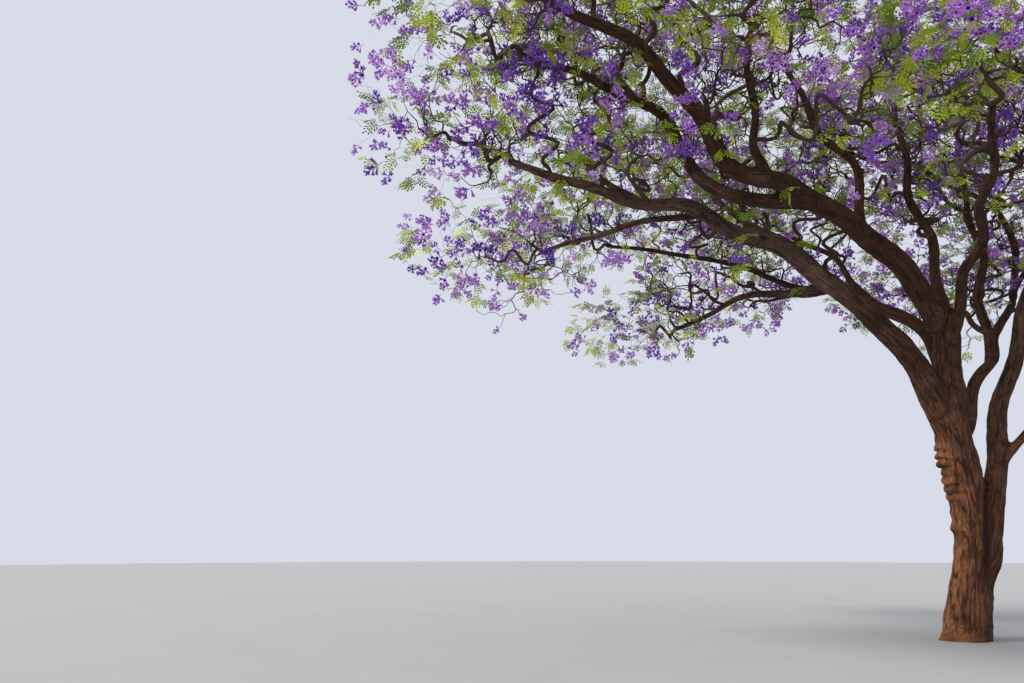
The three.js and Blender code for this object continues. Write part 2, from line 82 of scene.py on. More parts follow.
# each limb's name, its parent, the share of the parent's length where it leaves, the bends on its
# way, its tip, and its radius at both ends
LIMBS: list[tuple] = [
    ("trunk", None, 0, [[0.17, 0, 0.75], [0.5, 0.05, 1.9], [0.48, 0.05, 2.95]], [0.36, 0, 4.35], 0.35, 0.3),
    ("upper_stem", "trunk", 0.97, [[0.47, -0.06, 5.2]], [0.52, -0.2, 6.1], 0.27, 0.235),
    ("low_arch_bough", "trunk", 0.92,
     [[-0.43, -0.2, 5.39], [-2.42, -0.7, 7.03], [-4.81, -1.3, 7.93], [-6.5, -1.8, 8.05]],
     [-8.3, -2.35, 8.42], 0.25, 0.055),
    ("high_arch_bough", "upper_stem", 0.9,
     [[-0.55, -0.8, 6.9], [-2.86, -2.1, 7.87], [-4.5, -2.95, 8.1], [-5.9, -3.8, 9.55]],
     [-7.6, -4.7, 9.85], 0.24, 0.07),
    ("mid_arch_bough", "high_arch_bough", 0.4,
     [[-3.5, -2.25, 7.66], [-4.6, -2.4, 7.85], [-5.75, -2.8, 9.2]], [-8.1, -3.3, 9.95], 0.15, 0.05),
    ("back_arch_bough", "upper_stem", 0.25,
     [[0.63, 0.7, 5.9], [-0.38, 2.4, 7.55], [-1.8, 3.4, 7.9]], [-3.9, 4.5, 7.25], 0.17, 0.05),
    ("right_stem", "trunk", 0.16,
     [[0.58, -0.12, 1.4], [0.82, -0.08, 2.1], [1.2, 0.2, 3.1], [1.95, 0.5, 4.9], [2.6, -0.3, 7.2]],
     [3.3, -1.3, 9.0], 0.235, 0.055),
    ("inner_bough", "trunk", 0.8,
     [[1.28, 0.35, 4.84], [2.5, 1.1, 6.3], [3.6, 1.7, 7.7]], [4.4, 2.2, 8.3], 0.135, 0.045),
    ("tall_bough", "inner_bough", 0.36,
     [[1.95, 0.8, 6.8], [2.15, 0.85, 8.4], [1.98, 0.8, 9.7]], [2.15, 0.8, 11.2], 0.11, 0.04),
    ("crossing_riser", "inner_bough", 0.7, [[3.55, 1.7, 8.6]], [3.35, 1.8, 9.6], 0.082, 0.07),
    ("crossing_bough", "crossing_riser", 0.96, [[2.3, 1.95, 10.35]], [-0.4, 1.5, 10.9], 0.07, 0.04),
    ("first_riser", "high_arch_bough", 0.27,
     [[-1.72, -1.6, 8.8], [-2.5, -1.9, 9.65]], [-3.05, -2.2, 10.6], 0.1, 0.045),
    ("second_riser", "mid_arch_bough", 0.66, [[-6.2, -2.4, 10.0]], [-6.1, -2.0, 10.9], 0.075, 0.04),
    ("front_arch_bough", "high_arch_bough", 0.52, [[-4.4, -3.9, 8.4]], [-4.7, -5.0, 9.0], 0.09, 0.04),
    ("front_bough", "upper_stem", 0.62,
     [[0.35, -1.4, 6.7], [-0.3, -3.2, 7.3]], [-1.0, -4.7, 8.1], 0.12, 0.045),
    ("top_bough", "upper_stem", 0.95, [[0.35, -0.3, 7.6], [-0.1, -0.6, 9.6]], [-0.3, -1.1, 11.2], 0.12, 0.04),
    ("low_side_bough", "low_arch_bough", 0.62, [[-6.2, -1.05, 7.7]], [-7.7, -0.7, 7.3], 0.075, 0.035),
    ("low_riser", "low_arch_bough", 0.74, [[-6.7, -1.2, 8.9]], [-7.0, -0.4, 9.6], 0.07, 0.035),
    ("grey_bough", "low_arch_bough", 0.2,
     [[-1.6, 0.4, 7.4], [-3.0, 1.1, 8.9]], [-3.9, 1.4, 10.0], 0.13, 0.045),
    ("back_left_bough", "back_arch_bough", 0.58, [[-3.2, 2.9, 8.6]], [-5.9, 2.7, 8.9], 0.08, 0.04),
    ("back_mid_bough", "back_arch_bough", 0.36, [[-0.6, 2.6, 8.7]], [-1.2, 3.7, 9.8], 0.09, 0.04),
    ("back_low_bough", "back_arch_bough", 0.5, [[-1.0, 4.1, 8.0]], [-1.3, 5.0, 8.2], 0.07, 0.035),
    ("right_low_bough", "right_stem", 0.25,
     [[1.9, 0.2, 3.84], [3.3, 0.2, 5.2]], [5.1, 0.25, 6.7], 0.09, 0.035),
    ("right_out_bough", "right_stem", 0.565, [[3.1, -0.9, 6.9]], [4.5, -2.3, 7.8], 0.09, 0.035),
    ("front_right_bough", "right_stem", 0.685, [[2.3, -2.2, 7.8]], [2.0, -4.2, 8.3], 0.085, 0.035),
    ("front_top_bough", "right_stem", 0.83, [[2.3, -1.9, 9.2]], [0.9, -2.9, 10.0], 0.07, 0.035),
    ("back_right_bough", "inner_bough", 0.5, [[2.5, 2.3, 6.9]], [2.5, 4.1, 8.1], 0.08, 0.035),
    ("back_top_bough", "tall_bough", 0.55, [[2.4, 1.6, 9.3]], [2.6, 2.6, 10.3], 0.07, 0.035),
]
# limbs without a mass at their tip
BARE = {"trunk", "upper_stem", "crossing_riser"}
# limbs whose bark runs on from their parent's
CARRIED_ON = {"upper_stem"}
# limbs whose mass has more leaves than blossom
LEAFY = {
    "high_arch_bough", "second_riser", "low_riser", "back_arch_bough", "front_bough", "crossing_bough",
    "right_low_bough", "back_mid_bough", "right_stem", "back_left_bough", "tall_bough", "front_right_bough",
}


def hash01(a: float, b: float) -> float:
    """Gives the source's even number from 0 to 1 for two seeds."""
    value = math.sin(a * 12.9898 + b * 78.233) * 43758.5453
    return value - math.floor(value)


def unit(vectors: np.ndarray) -> np.ndarray:
    """Gives the vectors at length 1."""
    return vectors / np.maximum(np.linalg.norm(vectors, axis=-1, keepdims=True), 1e-9)


def blend01(low: float, high: float, value: np.ndarray) -> np.ndarray:
    """Gives a smooth step from 0 at low to 1 at high."""
    share = np.clip((value - low) / (high - low), 0, 1)
    return share * share * (3 - 2 * share)


@dataclass
class Noise:
    """Smooth seeded noise over space, about -1 to 1.

    Attributes:
        seed: Picks the pattern.
    """

    seed: int

    def __post_init__(self) -> None:
        """Makes the table of slopes."""
        self.slopes = unit(np.random.default_rng(self.seed).normal(size=(256, 3)))

    def at(self, spots: np.ndarray) -> np.ndarray:
        """Reads the noise.

        Args:
            spots: Places, one row each, in cells of the noise.

        Returns:
            One value for each place.
        """
        cell = np.floor(spots)
        part = spots - cell
        ease = part * part * part * (part * (part * 6 - 15) + 10)
        cell = cell.astype(np.int64)
        total = np.zeros(len(spots))
        for corner in range(8):
            step = np.array([corner & 1, corner >> 1 & 1, corner >> 2 & 1])
            key = (cell + step) @ np.array([73856093, 19349663, 83492791])
            key = ((key ^ (key >> 15)) * 1274126177) & 0xFFFFFFFF
            slope = self.slopes[(key ^ (key >> 16)) & 255]
            weight = np.prod(np.where(step == 1, ease, 1 - ease), axis=1)
            total += weight * np.einsum("ij,ij->i", slope, part - step)
        return 1.6 * total


@dataclass
class Limb:
    """One limb's middle line and radii, by the same rule as in the part's source.

    Attributes:
        index: The limb's number in the table.
        name: The name of its node.
        start: Where its middle line begins, inside its parent.
        bends: The places it passes on its way.
        tip: Where it ends.
        root: Radius at its start.
        end: Radius at its tip.
        parent: The limb it leaves, or None.
        before: Length of its parent before it, where it carries its parent's bark on.
        taper: How soon it thins.
        sway: Sideways swing, as a share of one wave.
        wave: Length of one wave.
    """

    index: int
    name: str
    start: np.ndarray
    bends: list
    tip: list
    root: float
    end: float
    parent: "Limb | None" = None
    before: float = 0.0
    taper: float = 0.8
    sway: float = 0.045
    wave: float = 1.9

    def __post_init__(self) -> None:
        """Works out the line's marks, slopes and swing."""
        self.points = np.array([self.start, *self.bends, self.tip], float)
        runs = np.linalg.norm(np.diff(self.points, axis=0), axis=1)
        self.length = float(runs.sum())
        self.marks = np.concatenate([[0], np.cumsum(runs)]) / self.length
        rise = np.diff(self.points, axis=0) / np.diff(self.marks)[:, None]
        before, after = np.diff(self.marks)[:-1, None], np.diff(self.marks)[1:, None]
        middle = (rise[:-1] * after + rise[1:] * before) / (before + after)
        self.slopes = np.concatenate([rise[:1], middle, rise[-1:]])
        chord = unit(self.points[-1] - self.points[0])
        self.side = unit(np.cross(UP, chord))
        self.over = np.cross(chord, self.side)
        self.waves = max(1.0, self.length / self.wave)
        self.swing = 0.0 if self.name in BARE else self.sway * min(self.wave, self.length)
        self.phase = (hash01(self.index, 1), hash01(self.index, 2))

    def at(self, shares: np.ndarray | float) -> np.ndarray:
        """Gives places on the middle line.

        Args:
            shares: Shares of the limb's length, from 0 to 1.

        Returns:
            One place for each share.
        """
        t = np.atleast_1d(np.asarray(shares, float))
        k = np.clip(np.searchsorted(self.marks, t, side="left") - 1, 0, len(self.points) - 2)
        span = (self.marks[k + 1] - self.marks[k])[:, None]
        x = (t - self.marks[k])[:, None] / span
        spots = (
            (2 * x**3 - 3 * x**2 + 1) * self.points[k]
            + (x**3 - 2 * x**2 + x) * span * self.slopes[k]
            + (3 * x**2 - 2 * x**3) * self.points[k + 1]
            + (x**3 - x**2) * span * self.slopes[k + 1]
        )
        swing = (np.sin(np.pi * t) * self.swing)[:, None]
        spots += swing * np.sin(2 * np.pi * (self.waves * t + self.phase[0]))[:, None] * self.side
        spots += 0.8 * swing * np.sin(2 * np.pi * (0.8 * self.waves * t + self.phase[1]))[:, None] * self.over
        return spots if np.ndim(shares) else spots[0]

    def ahead(self, shares: np.ndarray | float) -> np.ndarray:
        """Gives the way the limb runs at each share."""
        t = np.asarray(shares, float)
        return unit(self.at(np.minimum(t + 1e-4, 1)) - self.at(np.maximum(t - 1e-4, 0)))

    def radius(self, shares: np.ndarray | float) -> np.ndarray:
        """Gives the limb's radius at each share."""
        return self.end + (self.root - self.end) * (1 - np.minimum(shares, 1)) ** self.taper


@dataclass
class Framework:
    """The trunk and all boughs, and what is near them.

    Attributes:
        step: Length of limb between two samples.
        limbs: The limbs by name.
    """

    step: float = 0.08
    limbs: dict[str, Limb] = field(default_factory=dict)

    def grow(self) -> None:
        """Makes each limb from the table, from its parent on, and samples them all."""
        for index, (name, parent, share, bends, tip, root, end) in enumerate(LIMBS):
            holder = self.limbs.get(parent)
            start = holder.at(share) if holder else np.zeros(3)
            before = share * holder.length if name in CARRIED_ON else 0.0
            self.limbs[name] = Limb(index, name, start, bends, tip, root, end, holder, before)
        shares = [np.linspace(0, 1, math.ceil(one.length / self.step) + 1) for one in self.limbs.values()]
        pairs = list(zip(self.limbs.values(), shares))
        self.spot = np.concatenate([one.at(t) for one, t in pairs])
        self.radius = np.concatenate([one.radius(t) for one, t in pairs])
        self.ahead = np.concatenate([one.ahead(t) for one, t in pairs])
        self.along = np.concatenate([one.before + one.length * t for one, t in pairs])
        self.owner = np.concatenate([np.full(len(t), one.index) for one, t in pairs])
        kin = [one.parent if one.before else one for one in self.limbs.values()]
        self.kind = np.concatenate([np.full(len(t), one.index) for one, t in zip(kin, shares)])
        side = np.concatenate([np.tile(one.side, (len(t), 1)) for one, t in zip(kin, shares)])
        self.across = unit(side - np.sum(side * self.ahead, axis=1, keepdims=True) * self.ahead)
        self.level = np.cross(self.ahead, self.across)
        self.first = np.concatenate([[0], np.cumsum([len(t) for t in shares])[:-1]])

    def depths(self, spots: np.ndarray) -> np.ndarray:
        """Measures how far each place is from the skin of each sample.

        Args:
            spots: Places, one row each.

        Returns:
            A row for each place and a column for each sample, negative inside.
        """
        square = (-2 * spots @ self.spot.T).astype(np.float32)
        square += (spots**2).sum(1)[:, None].astype(np.float32)
        square += (self.spot**2).sum(1)[None].astype(np.float32)
        return np.sqrt(np.maximum(square, 0, out=square), out=square) - self.radius[None].astype(np.float32)

    def clear_of(self, spots: np.ndarray, room: float) -> bool:
        """Tells whether all places keep that room to every limb."""
        return bool((self.depths(spots) > room).all())


@dataclass
class Mass:
    """The space of one mass of leaves and blossom, by the same rule as in the part's source.

    Attributes:
        index: The mass's number.
        limb: The bough it grows from.
        reach: Half its size each way.
        lead: From the bough's tip to its middle, as a share of its reach.
        rise: How far its middle lies above that.
        lowest: Height of its lowest buds, as a share of its reach.
        climb: From there to its highest ones.
        outward: How the buds gather: at less than 1 near the rim.
    """

    index: int
    limb: Limb
    reach: np.ndarray = field(default_factory=lambda: np.array([1.95, 1.95, 1.2]))
    lead: float = 0.62
    rise: float = 0.35
    lowest: float = -0.86
    climb: float = 1.8
    outward: float = 0.45

    def __post_init__(self) -> None:
        """Works out the mass's middle and root."""
        self.name = self.limb.name.replace("_bough", "").replace("_stem", "") + "_mass"
        self.leafy = self.limb.name in LEAFY
        tip = self.limb.at(1.0)
        self.root, self.aim = tip, self.limb.ahead(1.0)
        lean = tip - self.limb.at(0.93)
        lean[2] *= 0.5
        lean = unit(lean) * [1, 1, 0.8]
        self.centre = tip + lean * self.lead * self.reach[0] + [0, 0, self.rise]
        self.normals = np.zeros((0, 3))
        self.limits = np.zeros(0)

    def share_with(self, others: list, margin: float = 0.025) -> None:
        """Puts a plane half way to each neighbour.

        Args:
            others: All the other masses.
            margin: Room kept to the plane.
        """
        for other in others:
            gap = other.centre - self.centre
            if np.linalg.norm(gap / self.reach) > 2:
                continue
            normal = unit(gap / self.reach**2)
            limit = normal @ (self.centre + gap / 2) - margin
            self.normals = np.vstack([self.normals, normal])
            self.limits = np.append(self.limits, limit)

    def see_limbs(self, wood: Framework) -> None:
        """Notes the limbs that pass through the mass."""
        near = np.linalg.norm((wood.spot - self.centre) / self.reach, axis=1) < 1.4
        self.limb_spots, self.limb_radii = wood.spot[near], wood.radius[near]

    def holds(self, spots: np.ndarray, room: float, fill: float = 1.0) -> np.ndarray:
        """Tells which places lie in the mass's own space.

        Args:
            spots: Places, one row each.
            room: Room kept to neighbours and limbs.
            fill: Share of the reach that counts as inside.

        Returns:
            True for each place that does.
        """
        inside = np.linalg.norm((spots - self.centre) / self.reach, axis=1) <= fill
        inside &= (spots @ self.normals.T <= self.limits - room).all(axis=1)
        gaps = np.linalg.norm(spots[:, None] - self.limb_spots[None], axis=2) - self.limb_radii
        return inside & (gaps > room).all(axis=1)

    def buds(self, count: int, zone: tuple[float, float]) -> np.ndarray:
        """Gives the places where twigs may end, even all round, at varied depth.

        Args:
            count: How many.
            zone: Depths from the middle (0) to the rim (1).

        Returns:
            One place a row.
        """
        k = np.arange(1, count + 1)
        around, up, out = (
            (step * k + hash01(self.index, n)) % 1 for step, n in zip(EVEN_STEPS, (11, 12, 13)))
        turn = 2 * np.pi * around
        height = self.lowest + self.climb * up
        depth = zone[0] + (zone[1] - zone[0]) * out**self.outward
        flat = np.sqrt(1 - height**2)
        ways = np.stack([flat * np.cos(turn), flat * np.sin(turn), height], axis=1)
        return self.centre + ways * self.reach * depth[:, None]


@dataclass
class Twig:
    """One twig's path and what it grows from.

    Attributes:
        points: Its path.
        parent: Number of the twig it leaves, or -1 on a limb.
        place: Number of the parent's point that it leaves from.
        cap: The most its radius may be.
        leafy: Whether its mass has more leaves than blossom.
        middle: The middle of the mass or limb that it grows out from.
        load: How many ends it carries beyond each point.
        radii: Its radius at each point.
    """

    points: np.ndarray
    parent: int
    place: int
    cap: float
    leafy: bool
    middle: np.ndarray
    load: np.ndarray | None = None
    radii: np.ndarray | None = None


@dataclass
class TwigWork:
    """All twigs of the crown: the stem and forks of each mass, and the sprigs along the boughs.

    Attributes:
        tries: Places tried in one mass.
        zone: How deep in its mass a twig may end.
        gap: Length of twig between two of its points.
        least: Shortest twig.
        swing: Sideways swing, as a share of the twig's length.
        thin: Radius of a twig that carries one end.
        swell: How its radius grows with the ends it carries.
        hub_drop: How far the end of a mass's stem lies under its middle, as a share of its reach.
        sunk: How far that stem starts inside its bough.
        bud_room: Room that a bud keeps to limbs and to other masses.
        path_room: Room that a twig's path keeps to them.
        turn_cost: How much longer a way counts that leaves a fork at a sharp turn.
        sprig_gap: Length of bough between two sprigs.
        sprig_end: Share of a bough's length up to which sprigs grow.
        bare_below: No sprig reaches under this height.
        fork_x: Where the trunk forks, along X.
        bare_fork: No sprig leaves a limb this near the fork, across and up.
        sprig_kinds: Least and most length, and forks, of a long sprig, a short one and a spur.
        limb_room: Room that a sprig keeps to the limbs.
        box_room: Room that it keeps to the sides of the part's box.
        twigs: All twigs so far.
    """

    tries: int = 210
    zone: tuple[float, float] = (0.1, 0.93)
    gap: float = 0.13
    least: float = 0.16
    swing: float = 0.1
    thin: float = 0.0078
    swell: float = 0.5
    hub_drop: float = 0.12
    sunk: float = 0.15
    bud_room: float = 0.03
    path_room: float = 0.012
    turn_cost: float = 0.45
    sprig_gap: float = 0.31
    sprig_end: float = 0.97
    bare_below: float = 6.2
    fork_x: float = 0.45
    bare_fork: tuple[float, float] = (1.9, 7.5)
    sprig_kinds: tuple = ((1.7, 2.7, 2), (0.5, 1.3, 1), (0.14, 0.34, 1))
    limb_room: float = 0.04
    box_room: float = 0.25
    twigs: list = field(default_factory=list)

    def path(self, start: np.ndarray, aim: np.ndarray, end: np.ndarray, seed: float) -> np.ndarray:
        """Bends a twig from one place to another, leaving along the way its parent runs.

        Args:
            start: Where it starts.
            aim: The way its parent runs there.
            end: Where it ends.
            seed: Picks its swing.

        Returns:
            Its points.
        """
        length = float(np.linalg.norm(end - start))
        t = np.linspace(0, 1, max(3, math.ceil(length / self.gap) + 1))[:, None]
        knee = start + 0.4 * length * aim
        spots = (1 - t) ** 2 * start + 2 * t * (1 - t) * knee + t**2 * end
        chord = unit(end - start)
        side = unit(np.cross(chord, [0.3, 0.2, 1.0]))
        over = np.cross(chord, side)
        waves = 1.3 + length
        swing = self.swing * length * np.sin(np.pi * t)
        spots += swing * np.sin(2 * np.pi * (waves * t + hash01(seed, 3))) * side
        spots += swing * np.sin(2 * np.pi * (0.8 * waves * t + hash01(seed, 4))) * over
        return spots

    def add(self, twig: Twig) -> int:
        """Adds a twig and gives its number."""
        self.twigs.append(twig)
        return len(self.twigs) - 1

    def fill_mass(self, mass: Mass) -> None:
        """Grows one mass: its stem, then a twig to each bud from the fork that suits it best.

        Args:
            mass: The mass.
        """
        hub = mass.centre - [0, 0, self.hub_drop * mass.reach[2]]
        thick = 0.97 * mass.limb.end
        root = mass.root - self.sunk * mass.aim
        line = self.path(root, mass.aim, hub, mass.index + 0.5)
        stem = self.add(Twig(line, -1, 0, thick, mass.leafy, mass.centre))
        spots, aims, owners, places = [], [], [], []
        self.note_forks(stem, spots, aims, owners, places)
        buds = mass.buds(self.tries, self.zone)
        buds = buds[mass.holds(buds, self.bud_room)]
        order = np.argsort(np.linalg.norm(buds - mass.root, axis=1))
        for k, bud in enumerate(buds[order]):
            away = bud - np.array(spots)
            distance = np.linalg.norm(away, axis=1)
            turn = 1 - np.sum(unit(away) * np.array(aims), axis=1)
            pick = int(np.argmin(distance * (1 + self.turn_cost * turn)))
            if distance[pick] < self.least:
                continue
            line = self.path(spots[pick], aims[pick], bud, 7.3 * k + mass.index)
            if not mass.holds(line[1:], self.path_room).all():
                continue
            one = self.add(Twig(line, owners[pick], places[pick], thick, mass.leafy, mass.centre))
            self.note_forks(one, spots, aims, owners, places)

    def note_forks(self, number: int, spots: list, aims: list, owners: list, places: list) -> None:
        """Adds a twig's points, apart from its first, to the places where others may leave.

        Args:
            number: The twig's number.
            spots: The places so far.
            aims: The way the twig runs at each.
            owners: The number of each one's twig.
            places: The number of each one's point on its twig.
        """
        points = self.twigs[number].points
        for place in range(1, len(points)):
            spots.append(points[place])
            aims.append(unit(points[place] - points[place - 1]))
            owners.append(number)
            places.append(place)

    def add_sprigs(self, wood: Framework) -> None:
        """Grows sprigs along the boughs, up and out, each with a few side twigs.

        Args:
            wood: The limbs.
        """
        for limb in wood.limbs.values():
            if limb.name in BARE:
                continue
            first = 0.45 if limb.root > 0.13 else 0.3
            run = self.sprig_end - first
            count = int(limb.length * run / self.sprig_gap)
            for k in range(count):
                self.grow_sprig(wood, limb, first + run * (k + 0.5) / count, k)

    def grow_sprig(self, wood: Framework, limb: Limb, share: float, k: int) -> None:
        """Grows one sprig where it keeps clear of the limbs, in turn a long one, a short one and a spur.

        Args:
            wood: The limbs.
            limb: The bough it leaves.
            share: Where, as a share of the bough's length.
            k: The sprig's number on its bough.
        """
        spot, ahead, radius = limb.at(share), limb.ahead(share), float(limb.radius(share))
        across = math.hypot(spot[0] - self.fork_x, spot[1])
        if across < self.bare_fork[0] and spot[2] < self.bare_fork[1]:
            return
        turn = 2.4 * k + 6.3 * hash01(limb.index, 9)
        side = unit(np.cross(UP, ahead))
        over = np.cross(ahead, side)
        out = math.cos(turn) * side + (0.65 + math.sin(turn)) * over
        aim = unit(unit(out) + 0.5 * ahead)
        least, most, forks = self.sprig_kinds[k % 3]
        length = least + (most - least) * hash01(k, limb.index + 31)
        leafy = k % 3 == 2 or hash01(k, limb.index + 5) < 0.55
        root = spot + 0.6 * radius * aim
        holder = Twig(spot, -1, 0, 0.5 * radius, leafy, spot)
        self.branch(wood, root, aim, length, holder, 3.1 * k + 17 * limb.index, forks)

    def branch(self, wood: Framework, root: np.ndarray, aim: np.ndarray, length: float, holder: Twig,
               seed: float, forks: int) -> None:
        """Grows a twig up and out from a place, and side twigs on it, each half as long.

        Args:
            wood: The limbs, which it keeps clear of.
            root: Where it starts.
            aim: The way it starts.
            length: How far it reaches.
            holder: The parent's number, place and cap, and what the twig bears.
            seed: Picks its turns.
            forks: How many times it may fork again.
        """
        end = root + length * unit(aim + [0, 0, 0.3])
        line = self.path(root, aim, end, seed)
        if line[:, 2].min() < self.bare_below or not self.within(line):
            return
        if not wood.clear_of(line[2:], self.limb_room):
            return
        number = self.add(replace(holder, points=line))
        for n in range(2 + int(length / 0.36) if forks else 0):
            place = 1 + int((len(line) - 2) * (0.3 + 0.6 * hash01(n, seed + 60)))
            way = unit(line[place] - line[place - 1])
            swirl = 2.4 * n + 2 * np.pi * hash01(seed, 8)
            tilt = unit(np.cross(way, [0.2, 0.1, 1.0]))
            off = math.cos(swirl) * tilt + math.sin(swirl) * np.cross(way, tilt)
            reach = length * (0.3 + 0.3 * hash01(n, seed + 80))
            child = replace(holder, parent=number, place=place)
            self.branch(wood, line[place], unit(way + off), reach, child, seed + 5.7 * (n + 1), forks - 1)

    def within(self, spots: np.ndarray) -> bool:
        """Tells whether all places lie well inside the part's box."""
        low, high = np.array(CAD_BOX)
        return bool(((spots > low + self.box_room) & (spots < high - self.box_room)).all())

    @staticmethod
    def finer(rows: np.ndarray) -> np.ndarray:
        """Puts a row between each two, on the smooth curve through them all.

        Args:
            rows: Points or radii along a twig.

        Returns:
            The rows with the new ones between them.
        """
        wider = np.concatenate([[2 * rows[0] - rows[1]], rows, [2 * rows[-1] - rows[-2]]])
        made = np.empty((2 * len(rows) - 1, *rows.shape[1:]))
        made[::2] = rows
        made[1::2] = (9 * (wider[1:-2] + wider[2:-1]) - wider[:-3] - wider[3:]) / 16
        return made

    def piece(self, name: str, twigs: list, material: bpy.types.Material) -> bpy.types.Object:
        """Joins twigs into one piece, with more sides on the thick ones and rounder bends.

        Args:
            name: The piece's name.
            twigs: The twigs.
            material: Their finish.

        Returns:
            The piece.
        """
        tubes = []
        for twig in twigs:
            points, radii = twig.points, twig.radii
            sides, rounds = (6, 1) if radii[0] > 0.03 else (4, 1) if radii[0] > 0.02 else (3, 0)
            for _ in range(rounds):
                points, radii = self.finer(points), self.finer(radii)
            tubes.append(tube(points, radii, sides))
        return Sheet.join(tubes).piece(name, material, smooth=True)

    def thicken(self) -> None:
        """Gives each twig its radii, from the number of ends that it carries beyond each point."""
        for twig in self.twigs:
            twig.load = np.zeros(len(twig.points))
            twig.load[-1] = 1
        for twig in reversed(self.twigs):
            twig.load = np.cumsum(twig.load[::-1])[::-1].copy()
            if twig.parent >= 0:
                self.twigs[twig.parent].load[twig.place] += twig.load[0]
        for twig in self.twigs:
            radii = self.thin * twig.load**self.swell
            radii *= np.linspace(1, 0.8, len(radii))
            if twig.parent >= 0:
                twig.cap = 0.85 * self.twigs[twig.parent].radii[twig.place]
            twig.radii = np.minimum(radii, np.linspace(twig.cap, 0.75 * twig.cap, len(radii)))


@dataclass
class Sheet:
    """One mesh in the making.

    Attributes:
        spots: Its corners.
        faces: The numbers of each face's corners.
        values: One value or vector for each corner, by name.
    """

    spots: np.ndarray
    faces: np.ndarray
    values: dict = field(default_factory=dict)

    @staticmethod
    def join(sheets: list) -> "Sheet":
        """Joins sheets into one.

        Args:
            sheets: The sheets, all with the same values and faces of as many corners.

        Returns:
            The joined sheet.
        """
        starts = np.cumsum([0] + [len(one.spots) for one in sheets[:-1]])
        faces = np.concatenate([one.faces + start for one, start in zip(sheets, starts)])
        values = {key: np.concatenate([one.values[key] for one in sheets]) for key in sheets[0].values}
        return Sheet(np.concatenate([one.spots for one in sheets]), faces, values)

    def piece(self, name: str, material: bpy.types.Material, smooth: bool = False) -> bpy.types.Object:
        """Makes the Blender object.

        Args:
            name: The piece's name.
            material: Its finish.
            smooth: Whether it is shaded smooth.

        Returns:
            The object, linked to the scene.
        """
        mesh = bpy.data.meshes.new(name)
        count, corners = self.faces.shape
        mesh.vertices.add(len(self.spots))
        mesh.vertices.foreach_set("co", self.spots.astype(np.float32).ravel())
        mesh.loops.add(count * corners)
        mesh.loops.foreach_set("vertex_index", self.faces.astype(np.int32).ravel())
        mesh.polygons.add(count)
        mesh.polygons.foreach_set("loop_start", np.arange(count, dtype=np.int32) * corners)
        mesh.update(calc_edges=True)
        mesh.polygons.foreach_set("use_smooth", np.full(count, smooth))
        store_values(mesh, self.values)
        mesh.materials.append(material)
        mesh.validate()
        thing = bpy.data.objects.new(name, mesh)
        bpy.context.scene.collection.objects.link(thing)
        return thing


def store_values(mesh: bpy.types.Mesh, values: dict) -> None:
    """Stores values in a mesh for its finish to read.

    Args:
        mesh: The mesh.
        values: One value or vector for each corner, by name.
    """
    for key, data in values.items():
        kind = "FLOAT_VECTOR" if data.ndim > 1 else "FLOAT"
        layer = mesh.attributes.new(key, kind, "POINT")
        layer.data.foreach_set("vector" if data.ndim > 1 else "value", data.astype(np.float32).ravel())


def read_rows(rows: bpy.types.bpy_prop_collection, key: str, width: int, kind: type = float) -> np.ndarray:
    """Reads one property of a mesh's corners or edges.

    Args:
        rows: The corners or edges.
        key: The property.
        width: How many numbers it has.
        kind: Whether they are whole ones.

    Returns:
        One row for each corner or edge.
    """
    data = np.empty(width * len(rows), np.int32 if kind is int else np.float32)
    rows.foreach_get(key, data)
    return data.reshape(-1, width).astype(kind)


def wall_corners(rings: int, sides: int) -> tuple[np.ndarray, np.ndarray]:
    """Numbers the lower corner of each wall panel of a tube, and the next one round it."""
    ring, side = np.arange(rings - 1)[:, None] * sides, np.arange(sides)
    return (ring + side).ravel(), (ring + (side + 1) % sides).ravel()


def tube(points: np.ndarray, radii: np.ndarray, sides: int, start: float = 0.0) -> Sheet:
    """Makes an open tube of quads that ends in a point.

    Args:
        points: Its middle line.
        radii: Its radius at each point.
        sides: Corners round it.
        start: How far along its limb it starts, for the bark's pattern.

    Returns:
        The tube, with the place of each corner on the unrolled bark.
    """
    points = np.vstack([points, points[-1] + unit(points[-1] - points[-2]) * radii[-1]])
    radii = np.append(radii, 0.15 * radii[-1])
    ahead = unit(np.gradient(points, axis=0))
    side = unit(np.cross(unit(points[-1] - points[0]), [0.31, 0.17, 0.93]))
    across = unit(side - np.sum(side * ahead, axis=1, keepdims=True) * ahead)
    level = np.cross(ahead, across)
    angle = 2 * np.pi * np.arange(sides) / sides
    round_x, round_y = np.cos(angle)[None, :, None], np.sin(angle)[None, :, None]
    rings = points[:, None] + radii[:, None, None] * (round_x * across[:, None] + round_y * level[:, None])
    along = start + np.concatenate([[0], np.cumsum(np.linalg.norm(np.diff(points, axis=0), axis=1))])
    flat = np.stack(np.broadcast_arrays(
        radii[:, None] * np.cos(angle), radii[:, None] * np.sin(angle), along[:, None]), axis=-1)
    low, turned = wall_corners(len(points), sides)
    faces = np.stack([low, turned, turned + sides, low + sides], axis=1)
    return Sheet(rings.reshape(-1, 3), faces, {"bark_spot": flat.reshape(-1, 3)})


class Slot(Enum):
    """The record's material slots."""

    BARK = "bark"
    LEAVES = "leaves"
    BLOSSOM = "blossom"


